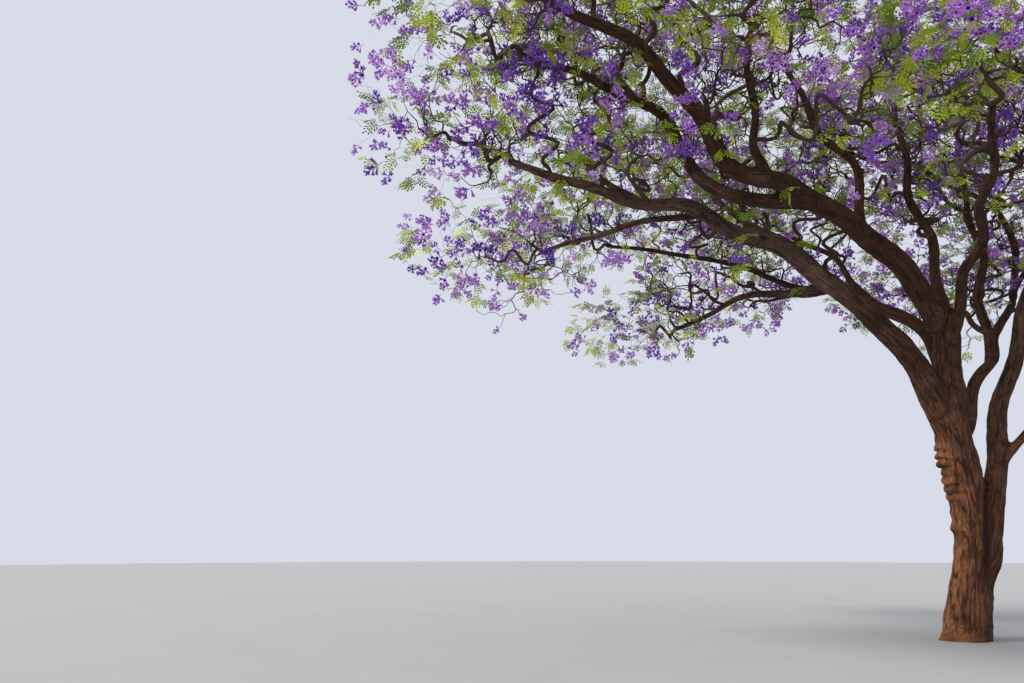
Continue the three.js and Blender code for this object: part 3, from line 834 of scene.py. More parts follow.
class NodeSheet:
    """A material's nodes, with short calls for the ones that the finishes use."""

    def __init__(self, name: str, rough: float) -> None:
        """Starts a material with one plain surface.

        Args:
            name: The finish's name.
            rough: Its roughness where nothing else sets it.
        """
        self.material = bpy.data.materials.new(name)
        self.material.use_nodes = True
        self.tree = self.material.node_tree
        self.tree.nodes.clear()
        self.surface = self.tree.nodes.new("ShaderNodeBsdfPrincipled")
        self.surface.inputs["Roughness"].default_value = rough
        self.surface.inputs["Specular IOR Level"].default_value = 0.2
        out = self.tree.nodes.new("ShaderNodeOutputMaterial")
        self.tree.links.new(self.surface.outputs[0], out.inputs["Surface"])

    def put(self, target: bpy.types.NodeSocket, value: object) -> None:
        """Links or sets one input.

        Args:
            target: The input.
            value: An output, a number, a vector or a colour without its alpha.
        """
        if isinstance(value, bpy.types.NodeSocket):
            self.tree.links.new(value, target)
        else:
            target.default_value = (*value, 1.0) if target.type == "RGBA" else value

    def add(self, kind: str, output: str | int, inputs: dict, **settings: str) -> bpy.types.NodeSocket:
        """Adds a node.

        Args:
            kind: Its type, without the word that all have in front.
            output: Name or number of the output to give.
            inputs: What each input is linked or set to, by name or number.
            settings: Its other settings.

        Returns:
            That output.
        """
        node = self.tree.nodes.new(f"ShaderNode{kind}")
        for key, setting in settings.items():
            setattr(node, key, setting)
        for key, value in inputs.items():
            self.put(node.inputs[key], value)
        return node.outputs[output]

    def value(self, name: str, vector: bool = False) -> bpy.types.NodeSocket:
        """Reads a value stored in the mesh."""
        return self.add("Attribute", "Vector" if vector else "Fac", {}, attribute_name=name)

    def place(self) -> bpy.types.NodeSocket:
        """Reads the place in the object."""
        return self.add("TexCoord", "Object", {})

    def stretch(self, vector: bpy.types.NodeSocket, scale: tuple) -> bpy.types.NodeSocket:
        """Scales a place differently each way."""
        return self.add("Mapping", 0, {"Vector": vector, "Scale": scale})

    def noise(self, vector: bpy.types.NodeSocket, scale: float, detail: float = 4.0,
              rough: float = 0.55, warp: float = 0.0) -> bpy.types.NodeSocket:
        """Reads cloudy noise at a place.

        Args:
            vector: The place.
            scale: How fine it is.
            detail: How many finer layers it has.
            rough: How strong they are.
            warp: How far it is bent.

        Returns:
            The noise, about 0.2 to 0.8.
        """
        inputs = {"Vector": vector, "Scale": scale, "Detail": detail, "Roughness": rough, "Distortion": warp}
        return self.add("TexNoise", "Fac", inputs)

    def cracks(self, vector: bpy.types.NodeSocket, scale: float) -> bpy.types.NodeSocket:
        """Reads the distance to the edges of random plates."""
        inputs = {"Vector": vector, "Scale": scale}
        return self.add("TexVoronoi", "Distance", inputs, feature="DISTANCE_TO_EDGE")

    def spread(self, value: bpy.types.NodeSocket, low: float, high: float,
               to_low: float = 0.0, to_high: float = 1.0) -> bpy.types.NodeSocket:
        """Maps a range of a value to another, and stays within it.

        Args:
            value: The value.
            low: What becomes to_low.
            high: What becomes to_high.
            to_low: The start of the new range.
            to_high: Its end.

        Returns:
            The mapped value.
        """
        inputs = {"Value": value, "From Min": low, "From Max": high, "To Min": to_low, "To Max": to_high}
        return self.add("MapRange", "Result", inputs)

    def maths(self, kind: str, first: object, second: object) -> bpy.types.NodeSocket:
        """Works out one sum of two values."""
        return self.add("Math", 0, {0: first, 1: second}, operation=kind)

    def times(self, first: object, second: object) -> bpy.types.NodeSocket:
        """Multiplies two values."""
        return self.maths("MULTIPLY", first, second)

    def mix(self, share: object, first: object, second: object) -> bpy.types.NodeSocket:
        """Mixes two colours by a share.

        Args:
            share: Share of the second colour, 0 to 1.
            first: The first colour.
            second: The second colour.

        Returns:
            The mixed colour.
        """
        return self.add("Mix", 2, {"Factor": share, 6: first, 7: second}, data_type="RGBA")

    def bump(self, height: bpy.types.NodeSocket, depth: float, strength: float = 1.0) -> None:
        """Raises the surface by a height of up to depth metres."""
        raised = self.add("Bump", 0, {"Strength": strength, "Distance": depth, "Height": height})
        self.put(self.surface.inputs["Normal"], raised)

    def finish(self, colour: object, rough: object = None) -> bpy.types.Material:
        """Puts the colour and roughness on the surface.

        Args:
            colour: The colour, or the output that gives it.
            rough: The output that gives the roughness, or None to keep the one it has.

        Returns:
            The material.
        """
        self.put(self.surface.inputs["Base Color"], colour)
        if rough is not None:
            self.put(self.surface.inputs["Roughness"], rough)
        return self.material


@dataclass(frozen=True)
class BarkFinish:
    """Fissured bark, which reads the values that Bark stores, with painted sunlight and painted shade in its
    colour.

    Attributes:
        crack: Its colour in the cracks.
        plate: On the plates between them.
        worn: On their worn grain.
        tan: Low on the trunk, partly the bark's own tan and partly painted sunlight on its -X side.
        grey: In dusty patches and on the pale limbs.
    """

    crack: tuple = (0.018, 0.008, 0.0045)
    plate: tuple = (0.066, 0.029, 0.015)
    worn: tuple = (0.12, 0.062, 0.038)
    tan: tuple = (0.46, 0.175, 0.066)
    grey: tuple = (0.195, 0.13, 0.104)

    def material(self) -> bpy.types.Material:
        """Makes the finish.

        Returns:
            The material.
        """
        sheet = NodeSheet("fissured_bark", 0.9)
        spot = sheet.value("bark_spot", vector=True)
        # The ridge value also carries painted shade in the groove and under the folds and painted light on
        # the fold tops; the tan value carries painted sunlight; the crotch value carries painted shade.
        ridge = sheet.value("bark_ridge_and_shading")
        tan_and_sun = sheet.value("bark_tan_and_sunlight")
        seam = sheet.value("bark_crotch_shading")
        streak = sheet.noise(sheet.stretch(spot, (1.0, 1.0, 0.16)), 34.0, 5.0, 0.62, 0.4)
        flakes = sheet.spread(sheet.cracks(sheet.stretch(spot, (1.0, 1.0, 0.27)), 26.0), 0.0, 0.12)
        grain = sheet.noise(sheet.stretch(spot, (1.0, 1.0, 0.4)), 95.0, 4.0, 0.6)
        cloud = sheet.noise(spot, 2.6, 4.0, 0.62, 0.5)
        # The plate share: the bark's own plates against its cracks, raised by painted sunlight and lowered by
        # painted shade in the crotches.
        plate_and_light = sheet.times(sheet.spread(ridge, 0.0, 0.7, 0.12, 1.0), sheet.spread(streak, 0.36, 0.6, 0.4, 1.0))
        plate_and_light = sheet.times(plate_and_light, sheet.spread(flakes, 0.0, 1.0, 0.72, 1.0))
        # Painted sunlight: the tan side is lifted towards plate colour.
        plate_and_light = sheet.maths("MAXIMUM", plate_and_light, sheet.times(tan_and_sun, sheet.spread(ridge, 0.05, 0.4, 0.0, 0.4)))
        # Painted shade: darker in the crotches, where limbs of other bark meet.
        plate_and_light = sheet.times(plate_and_light, sheet.spread(seam, 0.0, 1.0, 0.3, 1.0))
        base = sheet.mix(plate_and_light, self.crack, self.plate)
        base = sheet.mix(sheet.times(sheet.spread(grain, 0.48, 0.75, 0.0, 0.7), plate_and_light), base, self.worn)
        # Tan patches, most on the trunk's lower -X side as painted sunlight, partly the bark's own tan.
        sunlit_patches = sheet.times(tan_and_sun, sheet.spread(cloud, 0.34, 0.58, 0.12, 1.0))
        base = sheet.mix(sheet.times(sunlit_patches, plate_and_light), base, self.tan)
        patches = sheet.spread(sheet.noise(spot, 1.6, 3.0, 0.7), 0.5, 0.74, -0.1, 0.4)
        dust = sheet.maths("ADD", patches, sheet.value("bark_pale"))
        base = sheet.mix(sheet.times(dust, plate_and_light), base, self.grey)
        relief = sheet.maths("ADD", sheet.times(flakes, 0.35), sheet.times(streak, 1.4))
        relief = sheet.maths("ADD", relief, sheet.times(grain, 0.4))
        sheet.bump(sheet.times(relief, seam), 0.022, 1.0)
        return sheet.finish(base, sheet.spread(grain, 0.3, 0.8, 0.8, 0.96))


@dataclass(frozen=True)
class TwigFinish:
    """Thin bark of the twigs.

    Attributes:
        dark: Its colour in the grain.
        brown: Its colour between.
        pale: Its colour where it is young.
    """

    dark: tuple = (0.032, 0.02, 0.016)
    brown: tuple = (0.085, 0.05, 0.033)
    pale: tuple = (0.19, 0.145, 0.11)

    def material(self) -> bpy.types.Material:
        """Makes the finish.

        Returns:
            The material.
        """
        sheet = NodeSheet("twig_bark", 0.85)
        spot = sheet.value("bark_spot", vector=True)
        long = sheet.stretch(spot, (1.0, 1.0, 0.35))
        grain = sheet.noise(long, 60.0, 4.0, 0.6)
        cloud = sheet.noise(sheet.place(), 1.7, 3.0, 0.6)
        base = sheet.mix(sheet.spread(grain, 0.35, 0.7), self.dark, self.brown)
        base = sheet.mix(sheet.spread(cloud, 0.5, 0.72, 0.0, 0.6), base, self.pale)
        sheet.bump(grain, 0.004, 0.6)
        return sheet.finish(base, sheet.spread(grain, 0.3, 0.8, 0.78, 0.95))


@dataclass(frozen=True)
class SoftFinish:
    """Leaf or petal in one shade, lighter and darker from spray to spray.

    Attributes:
        name: The finish's name.
        shade: Its colour.
        light: The colour of its lighter places.
        deep: The colour of its deeper places.
        rough: Its roughness.
    """

    name: str
    shade: tuple
    light: tuple
    deep: tuple
    rough: float = 0.6

    def material(self) -> bpy.types.Material:
        """Makes the finish.

        Returns:
            The material.
        """
        sheet = NodeSheet(self.name, self.rough)
        tone = sheet.value("spray_tone")
        edge = sheet.value("spray_edge")
        veins = sheet.noise(sheet.place(), 55.0, 3.0, 0.6)
        base = sheet.mix(sheet.spread(tone, 0.0, 0.5), self.deep, self.shade)
        base = sheet.mix(sheet.spread(tone, 0.5, 1.0, 0.0, 0.8), base, self.light)
        base = sheet.mix(sheet.times(edge, sheet.spread(veins, 0.3, 0.7, 0.2, 0.7)), base, self.light)
        sheet.bump(veins, 0.002, 0.5)
        return sheet.finish(base, sheet.spread(veins, 0.2, 0.8, self.rough - 0.08, self.rough + 0.12))


@dataclass(frozen=True)
class PodFinish:
    """Dry brown seed case.

    Attributes:
        dark: The colour of its specks.
        light: Its colour between them.
    """

    dark: tuple = (0.05, 0.025, 0.012)
    light: tuple = (0.2, 0.11, 0.05)

    def material(self) -> bpy.types.Material:
        """Makes the finish.

        Returns:
            The material.
        """
        sheet = NodeSheet("dry_pod", 0.55)
        spots = sheet.noise(sheet.place(), 80.0, 4.0, 0.6)
        sheet.bump(spots, 0.002, 0.6)
        return sheet.finish(sheet.mix(sheet.spread(spots, 0.3, 0.7), self.dark, self.light))


LEAF_SHADES = (
    SoftFinish("lime_leaf", (0.43, 0.54, 0.02), (0.57, 0.66, 0.05), (0.23, 0.34, 0.012)),
    SoftFinish("fresh_green_leaf", (0.21, 0.33, 0.022), (0.33, 0.44, 0.045), (0.09, 0.17, 0.012)),
    SoftFinish("gold_leaf", (0.50, 0.43, 0.03), (0.60, 0.54, 0.07), (0.32, 0.28, 0.018)),
)
PETAL_SHADES = (
    SoftFinish("violet_petal", (0.22, 0.068, 0.52), (0.37, 0.15, 0.70), (0.10, 0.03, 0.29), 0.5),
    SoftFinish("mauve_petal", (0.41, 0.17, 0.62), (0.60, 0.32, 0.80), (0.22, 0.075, 0.40), 0.5),
    SoftFinish("lilac_petal", (0.57, 0.33, 0.75), (0.75, 0.53, 0.88), (0.34, 0.16, 0.52), 0.5),
)


@dataclass
class Bark:
    """The bark of the trunk and boughs as one grown surface, in a lower and an upper piece.

    Attributes:
        voxel: Fineness of the joined surface.
        thin: Limbs thinner than this are plain tubes beyond it.
        fine_below: Under this height it is twice as fine.
        flare: How far the foot spreads.
        flare_height: How soon the flare ends.
        lump: The low swelling on the -X side of the foot.
        lump_height: How soon it ends.
        collar: Swelling under the right stem.
        collar_level: Its height.
        fissure: Depth of the cracks on a trunk of full thickness.
        lumps: Height of the long lumps on a trunk of full thickness.
        groove: Depth of the groove between the trunk and the right stem.
        fold: How far the rolled folds stand out on the trunk's -X side.
        fold_gap: Height of one fold.
        fold_levels: The height of the lowest and highest fold.
        single_levels: The heights of the two folds below them.
        batch: How many corners are measured at once.
        far_off: A distance beyond any in the tree.
        joint: Width of the band where the bark of two limbs runs together.
        shift: From one limb's place in the bark's pattern to the next one's.
        pale: How grey all bark is.
        pale_limbs: Limbs with greyer bark, and how much.
    """

    voxel: float = 0.034
    thin: float = 0.062
    fine_below: float = 4.7
    flare: float = 0.055
    flare_height: float = 0.26
    lump: float = 0.09
    lump_height: float = 0.12
    collar: float = 0.06
    collar_level: float = 0.7
    fissure: float = 0.012
    lumps: float = 0.036
    groove: float = 0.11
    fold: float = 0.08
    fold_gap: float = 0.165
    fold_levels: tuple[float, float] = (2.5, 3.6)
    single_levels: tuple[float, float] = (1.98, 2.24)
    batch: int = 6000
    far_off: float = 99.0
    joint: float = 0.1
    shift: float = 3.7
    pale: float = 0.12
    pale_limbs: tuple[tuple[str, float], ...] = (
        ("low_arch_bough", 0.5), ("grey_bough", 0.75), ("low_side_bough", 0.5),
        ("back_arch_bough", 0.4), ("right_stem", 0.12),
    )

    def trunk_reach(self, limb: Limb, t: np.ndarray, angle: np.ndarray) -> np.ndarray:
        """Gives the trunk's reach from its middle line, flare and lump included.

        Args:
            limb: The trunk.
            t: Shares of its length, one a row.
            angle: Directions round it, one a column.

        Returns:
            One reach for each row and column.
        """
        z = limb.at(t)[:, 2][:, None]
        lobes = 1 + 0.32 * np.cos(4 * angle + 0.6) + 0.16 * np.cos(7 * angle + 2.1)
        flare = self.flare * lobes * np.exp(-z / self.flare_height)
        lump = self.lump * np.maximum(0, -np.cos(angle - 0.25)) ** 6 * np.exp(-z / self.lump_height)
        rise = (z - self.collar_level) / 0.62
        collar = self.collar * np.maximum(0, np.cos(angle + 0.6)) ** 2 * np.exp(-rise * rise)
        folds = 1 + 0.035 * np.cos(3 * angle + z / 0.9) + 0.02 * np.cos(8 * angle - z / 0.7)
        return limb.radius(t)[:, None] * folds + flare + lump + collar

    def thick_share(self, limb: Limb) -> float:
        """Gives the share of a limb's length that is thick enough for the joined skin."""
        shares = np.linspace(0, 1, 200)
        return float(shares[np.sum(limb.radius(shares) > self.thin) - 1]) if limb.root > self.thin else 0.0

    def collar_at(self, limb: Limb, t: np.ndarray) -> np.ndarray:
        """Gives how much wider a limb is near its start, where it leaves its parent."""
        hidden = float(limb.parent.radius(0.5)) if limb.parent else limb.root
        return 1 + 0.38 * np.exp(-((t * limb.length / (1.7 * hidden)) ** 2))

    def thin_end(self, limb: Limb) -> Sheet | None:
        """Makes the thin end of a limb as a lumpy tube, rooted in the joined skin.

        Args:
            limb: The limb.

        Returns:
            The tube, or None where the limb is thick to its tip.
        """
        first = max(0.0, self.thick_share(limb) - 0.2 / limb.length)
        t = np.linspace(first, 1, max(4, math.ceil(limb.length * (1 - first) / 0.05)))
        if self.thick_share(limb) > 0.985:
            return None
        points = limb.at(t)
        lumps = 1 + 0.09 * Noise(37).at(points / 0.22) + 0.04 * Noise(38).at(points / 0.07)
        made = tube(points, limb.radius(t) * self.collar_at(limb, t) * lumps, 10, first * limb.length)
        count = len(made.spots)
        spot = made.values["bark_spot"] + self.shift * limb.index
        made.values = {
            "bark_spot": spot,
            "bark_ridge_and_shading": blend01(-0.5, 0.5, Noise(39).at(spot / [0.05, 0.05, 0.2])),
            "bark_tan_and_sunlight": np.full(count, 0.08),
            "bark_pale": np.full(count, self.pale + dict(self.pale_limbs).get(limb.name, 0.0)),
            "bark_crotch_shading": np.ones(count),
        }
        return made

    def limb_tube(self, limb: Limb) -> Sheet:
        """Makes one limb's closed tube, with a collar where it leaves its parent.

        Args:
            limb: The limb.

        Returns:
            The tube, closed at both ends.
        """
        sides = 48 if limb.root > 0.2 else 28
        last = self.thick_share(limb)
        t = np.linspace(0, last, math.ceil(last * limb.length / 0.06) + 1)
        angle = 2 * np.pi * np.arange(sides)[None] / sides
        spots = limb.at(t)
        if limb.name == "trunk":
            reach = self.trunk_reach(limb, t, angle)
            across, level = np.array([[1.0, 0, 0]]), np.array([[0, 1.0, 0]])
            spots = np.vstack([spots[0] - [0, 0, 0.15], spots])
            reach = np.vstack([reach[:1], reach])
        else:
            reach = (limb.radius(t) * self.collar_at(limb, t))[:, None] * np.ones_like(angle)
            ahead = limb.ahead(t)
            across = unit(limb.side - np.sum(limb.side * ahead, axis=1, keepdims=True) * ahead)
            level = np.cross(ahead, across)
        rings = spots[:, None] + reach[..., None] * (
            np.cos(angle)[..., None] * across[:, None] + np.sin(angle)[..., None] * level[:, None])
        count = len(spots)
        ends = np.vstack([spots[:1], spots[-1:]])
        low, turned = wall_corners(count, sides)
        walls = np.concatenate([
            np.stack([low, turned, turned + sides], axis=1),
            np.stack([low, turned + sides, low + sides], axis=1),
        ])
        rim = np.arange(sides)
        last = (count - 1) * sides
        base, top = count * sides, count * sides + 1
        caps = np.concatenate([
            np.stack([np.full(sides, base), (rim + 1) % sides, rim], axis=1),
            np.stack([np.full(sides, top), last + rim, last + (rim + 1) % sides], axis=1),
        ])
        return Sheet(np.vstack([rings.reshape(-1, 3), ends]), np.concatenate([walls, caps]))

    def stub(self, holder: Limb) -> Sheet:
        """Makes the short healed stub under the fork of the two long boughs.

        Args:
            holder: The bough that it stands on.

        Returns:
            The stub, closed at both ends.
        """
        start = holder.at(0.44)
        line = Limb(0, "crossing_riser", start, [], list(start + [-0.12, -0.26, -0.17]), 0.085, 0.075)
        return self.limb_tube(line)

    def union(self, wood: Framework) -> bpy.types.Mesh:
        """Joins all limbs into one skin of even fineness.

        Args:
            wood: The limbs.

        Returns:
            The skin.
        """
        tubes = [self.limb_tube(limb) for limb in wood.limbs.values() if self.thick_share(limb) > 0.1]
        rough = Sheet.join([*tubes, self.stub(wood.limbs["high_arch_bough"])])
        plain = bpy.data.materials.new("unseen")
        thing = rough.piece("joined_limbs", plain)
        skin = thing.modifiers.new("skin", "REMESH")
        skin.mode = "VOXEL"
        skin.voxel_size = self.voxel
        mesh = bpy.data.meshes.new_from_object(thing.evaluated_get(bpy.context.evaluated_depsgraph_get()))
        bpy.data.objects.remove(thing)
        bpy.data.materials.remove(plain)
        return mesh

    @staticmethod
    def smooth(spots: np.ndarray, edges: np.ndarray, rounds: int, share: np.ndarray) -> np.ndarray:
        """Moves each corner towards the middle of its neighbours.

        Args:
            spots: The corners.
            edges: Pairs of corners.
            rounds: How many times.
            share: How far each corner moves.

        Returns:
            The moved corners.
        """
        first, second = edges.T
        count = np.bincount(edges.ravel(), minlength=len(spots))[:, None]
        for _ in range(rounds):
            total = np.stack([
                np.bincount(first, spots[second, axis], len(spots))
                + np.bincount(second, spots[first, axis], len(spots)) for axis in range(3)], axis=1)
            spots = spots + share[:, None] * (total / np.maximum(count, 1) - spots)
        return spots

    def refine(self, mesh: bpy.types.Mesh) -> None:
        """Makes the lower part twice as fine and cuts it flat at the ground.

        Args:
            mesh: The skin, which is changed.
        """
        shape = bmesh.new()
        shape.from_mesh(mesh)
        low = [edge for edge in shape.edges if max(v.co.z for v in edge.verts) < self.fine_below]
        bmesh.ops.subdivide_edges(shape, edges=low, cuts=1, use_grid_fill=True)
        everything = [*shape.verts, *shape.edges, *shape.faces]
        bmesh.ops.bisect_plane(
            shape, geom=everything, plane_co=(0, 0, 0), plane_no=(0, 0, -1), clear_outer=True)
        rim = [edge for edge in shape.edges if edge.is_boundary]
        bmesh.ops.contextual_create(shape, geom=rim)
        bmesh.ops.triangulate(shape, faces=[face for face in shape.faces if len(face.verts) > 4])
        shape.to_mesh(mesh)
        shape.free()

    def nearest(self, wood: Framework, spots: np.ndarray) -> tuple:
        """Finds the limb sample that each corner belongs to, and how close the next limb comes.

        Args:
            wood: The limbs.
            spots: The corners.

        Returns:
            The sample of each corner, that of the next limb, the gap to the next limb's skin, the
            gap to the next one with other bark, and that between the trunk and the right stem.
        """
        pick, other = np.empty(len(spots), int), np.empty(len(spots), int)
        gap, fork, seam = np.empty(len(spots)), np.empty(len(spots)), np.empty(len(spots))
        pair = [wood.limbs["trunk"].index, wood.limbs["right_stem"].index]
        for start in range(0, len(spots), self.batch):
            part = slice(start, start + self.batch)
            depth = wood.depths(spots[part])
            pick[part] = depth.argmin(axis=1)
            each = np.minimum.reduceat(depth, wood.first, axis=1)
            seam[part] = each[:, pair[0]] - each[:, pair[1]]
            least = each.min(axis=1)
            depth[wood.owner[pick[part]][:, None] == wood.owner[None]] = self.far_off
            other[part] = depth.argmin(axis=1)
            gap[part] = depth.min(axis=1) - least
            depth[wood.kind[pick[part]][:, None] == wood.kind[None]] = self.far_off
            fork[part] = depth.min(axis=1) - least
        return pick, other, gap, fork, seam

    def relief(self, wood: Framework, mesh: bpy.types.Mesh) -> dict:
        """Raises the bark: long lumps, cracked ridges, and the rolled folds on the -X side.

        Args:
            wood: The limbs.
            mesh: The joined skin, whose corners it moves.

        Returns:
            The values that the finish reads, with painted shade in the groove, under the folds and in the
            crotches, and painted sunlight on the trunk's lower -X side.
        """
        spots = read_rows(mesh.vertices, "co", 3)
        normals = read_rows(mesh.vertex_normals, "vector", 3)
        pick, other, gap, fork, seam = self.nearest(wood, spots)
        seed, height, ridge = self.pattern(wood, spots, pick)
        near = gap < self.joint
        _, next_height, next_ridge = self.pattern(wood, spots[near], other[near])
        share = 0.5 * (1 - blend01(0.0, self.joint, gap[near]))
        height[near] += share * (next_height - height[near])
        ridge[near] += share * (next_ridge - ridge[near])
        pads, between = self.folds(spots, wood, pick)
        height += self.fold * pads
        rise = blend01(0.7, 1.3, spots[:, 2]) * (1 - blend01(2.6, 3.4, spots[:, 2]))
        groove = rise * np.exp(-((seam / 0.085) ** 2))
        height -= self.groove * groove
        # Painted shade in the groove and in the gaps under the folds, and painted light on the fold tops.
        ridge = np.clip(ridge * (1 - 0.8 * groove) * (1 - 0.75 * between) + 0.5 * pads, 0, 1)
        calm = 0.8 * (1 - blend01(0.02, 0.3, spots[:, 2]))
        ridge += calm * (0.62 - ridge)
        at_ground = spots[:, 2] < 1e-4
        height *= np.where(wood.radius[pick] < 0.06, 0.5, 1.0)
        moved = spots + height[:, None] * normals
        moved[:, 2] = np.maximum(moved[:, 2], 0)
        moved[at_ground, 2] = 0
        mesh.vertices.foreach_set("co", moved.astype(np.float32).ravel())
        mesh.update()
        far = blend01(2.0, 4.5, wood.along[pick])
        pale = np.zeros(len(spots))
        for name, share in self.pale_limbs:
            pale += share * far * (wood.owner[pick] == wood.limbs[name].index)
        return {
            "bark_spot": seed,
            "bark_ridge_and_shading": ridge,
            "bark_tan_and_sunlight": self.sun_tan_share(spots, wood, pick),
            "bark_pale": self.pale + pale,
            # Painted shade in the crotches, where limbs of other bark meet.
            "bark_crotch_shading": blend01(0.0, 0.03, fork),
        }

    def pattern(self, wood: Framework, spots: np.ndarray, pick: np.ndarray) -> tuple:
        """Works out one limb's bark at each corner: long lumps, and cracks between ridges.

        Args:
            wood: The limbs.
            spots: The corners.
            pick: The sample that each corner belongs to.

        Returns:
            The place on the unrolled bark, the height, and how far up a ridge it is, 0 to 1.
        """
        off = spots - wood.spot[pick]
        ahead = wood.ahead[pick]
        run = np.sum(off * ahead, axis=1)
        off -= run[:, None] * ahead
        flat = np.stack([
            np.sum(off * wood.across[pick], axis=1),
            np.sum(off * wood.level[pick], axis=1),
            wood.along[pick] + run,
        ], axis=1)
        seed = flat + self.shift * wood.kind[pick][:, None]
        thick = np.clip(wood.radius[pick] / 0.3, 0.12, 1.15)
        warp = Noise(5).at(seed / [0.15, 0.15, 0.5])
        bent = seed + 0.024 * warp[:, None] * [1, 1, 2.2]
        wide = np.abs(Noise(11).at(bent / [0.066, 0.066, 0.62]))
        small = np.abs(Noise(17).at(bent / [0.03, 0.03, 0.17]))
        ridge = blend01(0.0, 0.3, wide) * (0.55 + 0.45 * blend01(0.0, 0.3, small))
        lump = Noise(23).at(seed / [0.3, 0.3, 0.75])
        height = thick * self.fissure * blend01(0.0, 0.2, spots[:, 2]) * (ridge - 0.75)
        height += self.lumps * thick * (lump + 0.45 * Noise(24).at(seed / [0.11, 0.11, 0.2]))
        height += 0.004 * thick * Noise(29).at(seed / 0.03)
        return seed, height, ridge

    def folds(self, spots: np.ndarray, wood: Framework, pick: np.ndarray) -> tuple[np.ndarray, np.ndarray]:
        """Gives the share by which the rolled folds stand out at each corner, and how near it is to a gap
        under a fold, where the bark gets painted shade.

        Args:
            spots: The corners.
            wood: The limbs.
            pick: The sample that each corner belongs to.

        Returns:
            Both shares, one value for each corner.
        """
        trunk = wood.limbs["trunk"]
        on_trunk = np.isin(wood.owner[pick], (trunk.index, wood.limbs["low_arch_bough"].index))
        off = spots - wood.spot[pick]
        angle = np.arctan2(off[:, 1], off[:, 0])
        middle = 186 - 16 * blend01(2.4, 3.4, spots[:, 2])
        turn = (angle - np.radians(middle) + np.pi) % (2 * np.pi) - np.pi
        wavy = Noise(31).at(np.stack([2.2 * turn, spots[:, 2] / 0.5, 0 * turn], axis=1))
        level = spots[:, 2] + 0.05 * wavy + 0.03 * turn
        place = level / self.fold_gap
        number = np.floor(place)
        pad = np.sin(np.pi * (place - number) ** 0.65)
        size = 0.45 + 0.55 * np.modf(np.abs(np.sin(number * 12.9898 + 4.1) * 437.5453))[0]
        band = blend01(self.fold_levels[0] - 0.15, self.fold_levels[0] + 0.1, level)
        band *= 1 - blend01(self.fold_levels[1] - 0.1, self.fold_levels[1] + 0.15, level)
        first, second = (np.exp(-(((level - z) / 0.07) ** 2)) for z in self.single_levels)
        window = np.exp(-((turn / 0.72) ** 4))
        pads = window * (band * size * pad + 0.8 * first + 0.48 * second)
        return np.where(on_trunk, pads, 0.0), np.where(on_trunk, window * band * (1 - pad) ** 2, 0.0)

    def sun_tan_share(self, spots: np.ndarray, wood: Framework, pick: np.ndarray) -> np.ndarray:
        """Gives how tan the bark is at each corner: partly the bark's own tan, low on the trunk's -X side as
        painted sunlight, less along the boughs and on the right stem as painted shade.

        Args:
            spots: The corners.
            wood: The limbs.
            pick: The sample that each corner belongs to.

        Returns:
            One value for each corner, 0 to 1.
        """
        # Tan low on the trunk and fading upward: partly the bark's own tan, with the boughs above left darker
        # as painted shade.
        low = 1 - blend01(3.0, 5.2, spots[:, 2])
        stem = wood.owner[pick] == wood.limbs["right_stem"].index
        off = spots - wood.spot[pick]
        # Painted sunlight: most on the -X side, where the key light comes from.
        sun_side = (0.5 - 0.5 * np.cos(np.arctan2(off[:, 1], off[:, 0]) + 0.25)) ** 1.7
        # Half as much on the right stem, as painted shade.
        return np.clip(0.12 + 0.88 * low, 0, 1) * np.where(stem, 0.5, 1.0) * (0.2 + 0.8 * sun_side)

    def build(self, wood: Framework, material: bpy.types.Material) -> list:
        """Makes the bark.

        Args:
            wood: The limbs.
            material: Its finish.

        Returns:
            The lower and the upper piece.
        """
        mesh = self.union(wood)
        spots, edges = read_rows(mesh.vertices, "co", 3), read_rows(mesh.edges, "vertices", 2, int)
        gap = self.nearest(wood, spots)[2]
        crotch = 1 - blend01(0.02, 0.13, gap)
        for share in 3 * (0.5, -0.53):
            spots = self.smooth(spots, edges, 1, np.full(len(spots), share))
        spots = self.smooth(spots, edges, 14, 0.5 * crotch)
        mesh.vertices.foreach_set("co", spots.astype(np.float32).ravel())
        self.refine(mesh)
        spots, edges = read_rows(mesh.vertices, "co", 3), read_rows(mesh.edges, "vertices", 2, int)
        inner = np.where(spots[:, 2] > 0.02, 0.5, 0.0)
        mesh.vertices.foreach_set("co", self.smooth(spots, edges, 2, inner).astype(np.float32).ravel())
        mesh.update()
        values = self.relief(wood, mesh)
        mesh.polygons.foreach_set("use_smooth", np.ones(len(mesh.polygons), bool))
        store_values(mesh, values)
        mesh.materials.clear()
        mesh.materials.append(material)
        lower, upper = self.halves(mesh)
        ends = [self.thin_end(limb) for limb in wood.limbs.values()]
        thin = Sheet.join([one for one in ends if one]).piece("bough_ends_bark", material, smooth=True)
        return [lower, upper, thin]

    def halves(self, mesh: bpy.types.Mesh) -> list:
        """Splits the skin into a lower and an upper piece that are shaded as one.

        Args:
            mesh: The skin.

        Returns:
            The lower and the upper piece.
        """
        store_values(mesh, {"bark_facing": read_rows(mesh.vertex_normals, "vector", 3)})
        pieces = []
        for name, keeps_low in (("trunk_bark", True), ("bough_bark", False)):
            shape = bmesh.new()
            shape.from_mesh(mesh)
            gone = [face for face in shape.faces
                    if (face.calc_center_median().z < self.fine_below - self.voxel) != keeps_low]
            bmesh.ops.delete(shape, geom=gone, context="FACES")
            half = bpy.data.meshes.new(name)
            shape.to_mesh(half)
            shape.free()
            half.materials.append(mesh.materials[0])
            facing = half.attributes["bark_facing"]
            half.normals_split_custom_set_from_vertices(read_rows(facing.data, "vector", 3))
            half.attributes.remove(half.attributes["bark_facing"])
            thing = bpy.data.objects.new(name, half)
            bpy.context.scene.collection.objects.link(thing)
            pieces.append(thing)
        return pieces


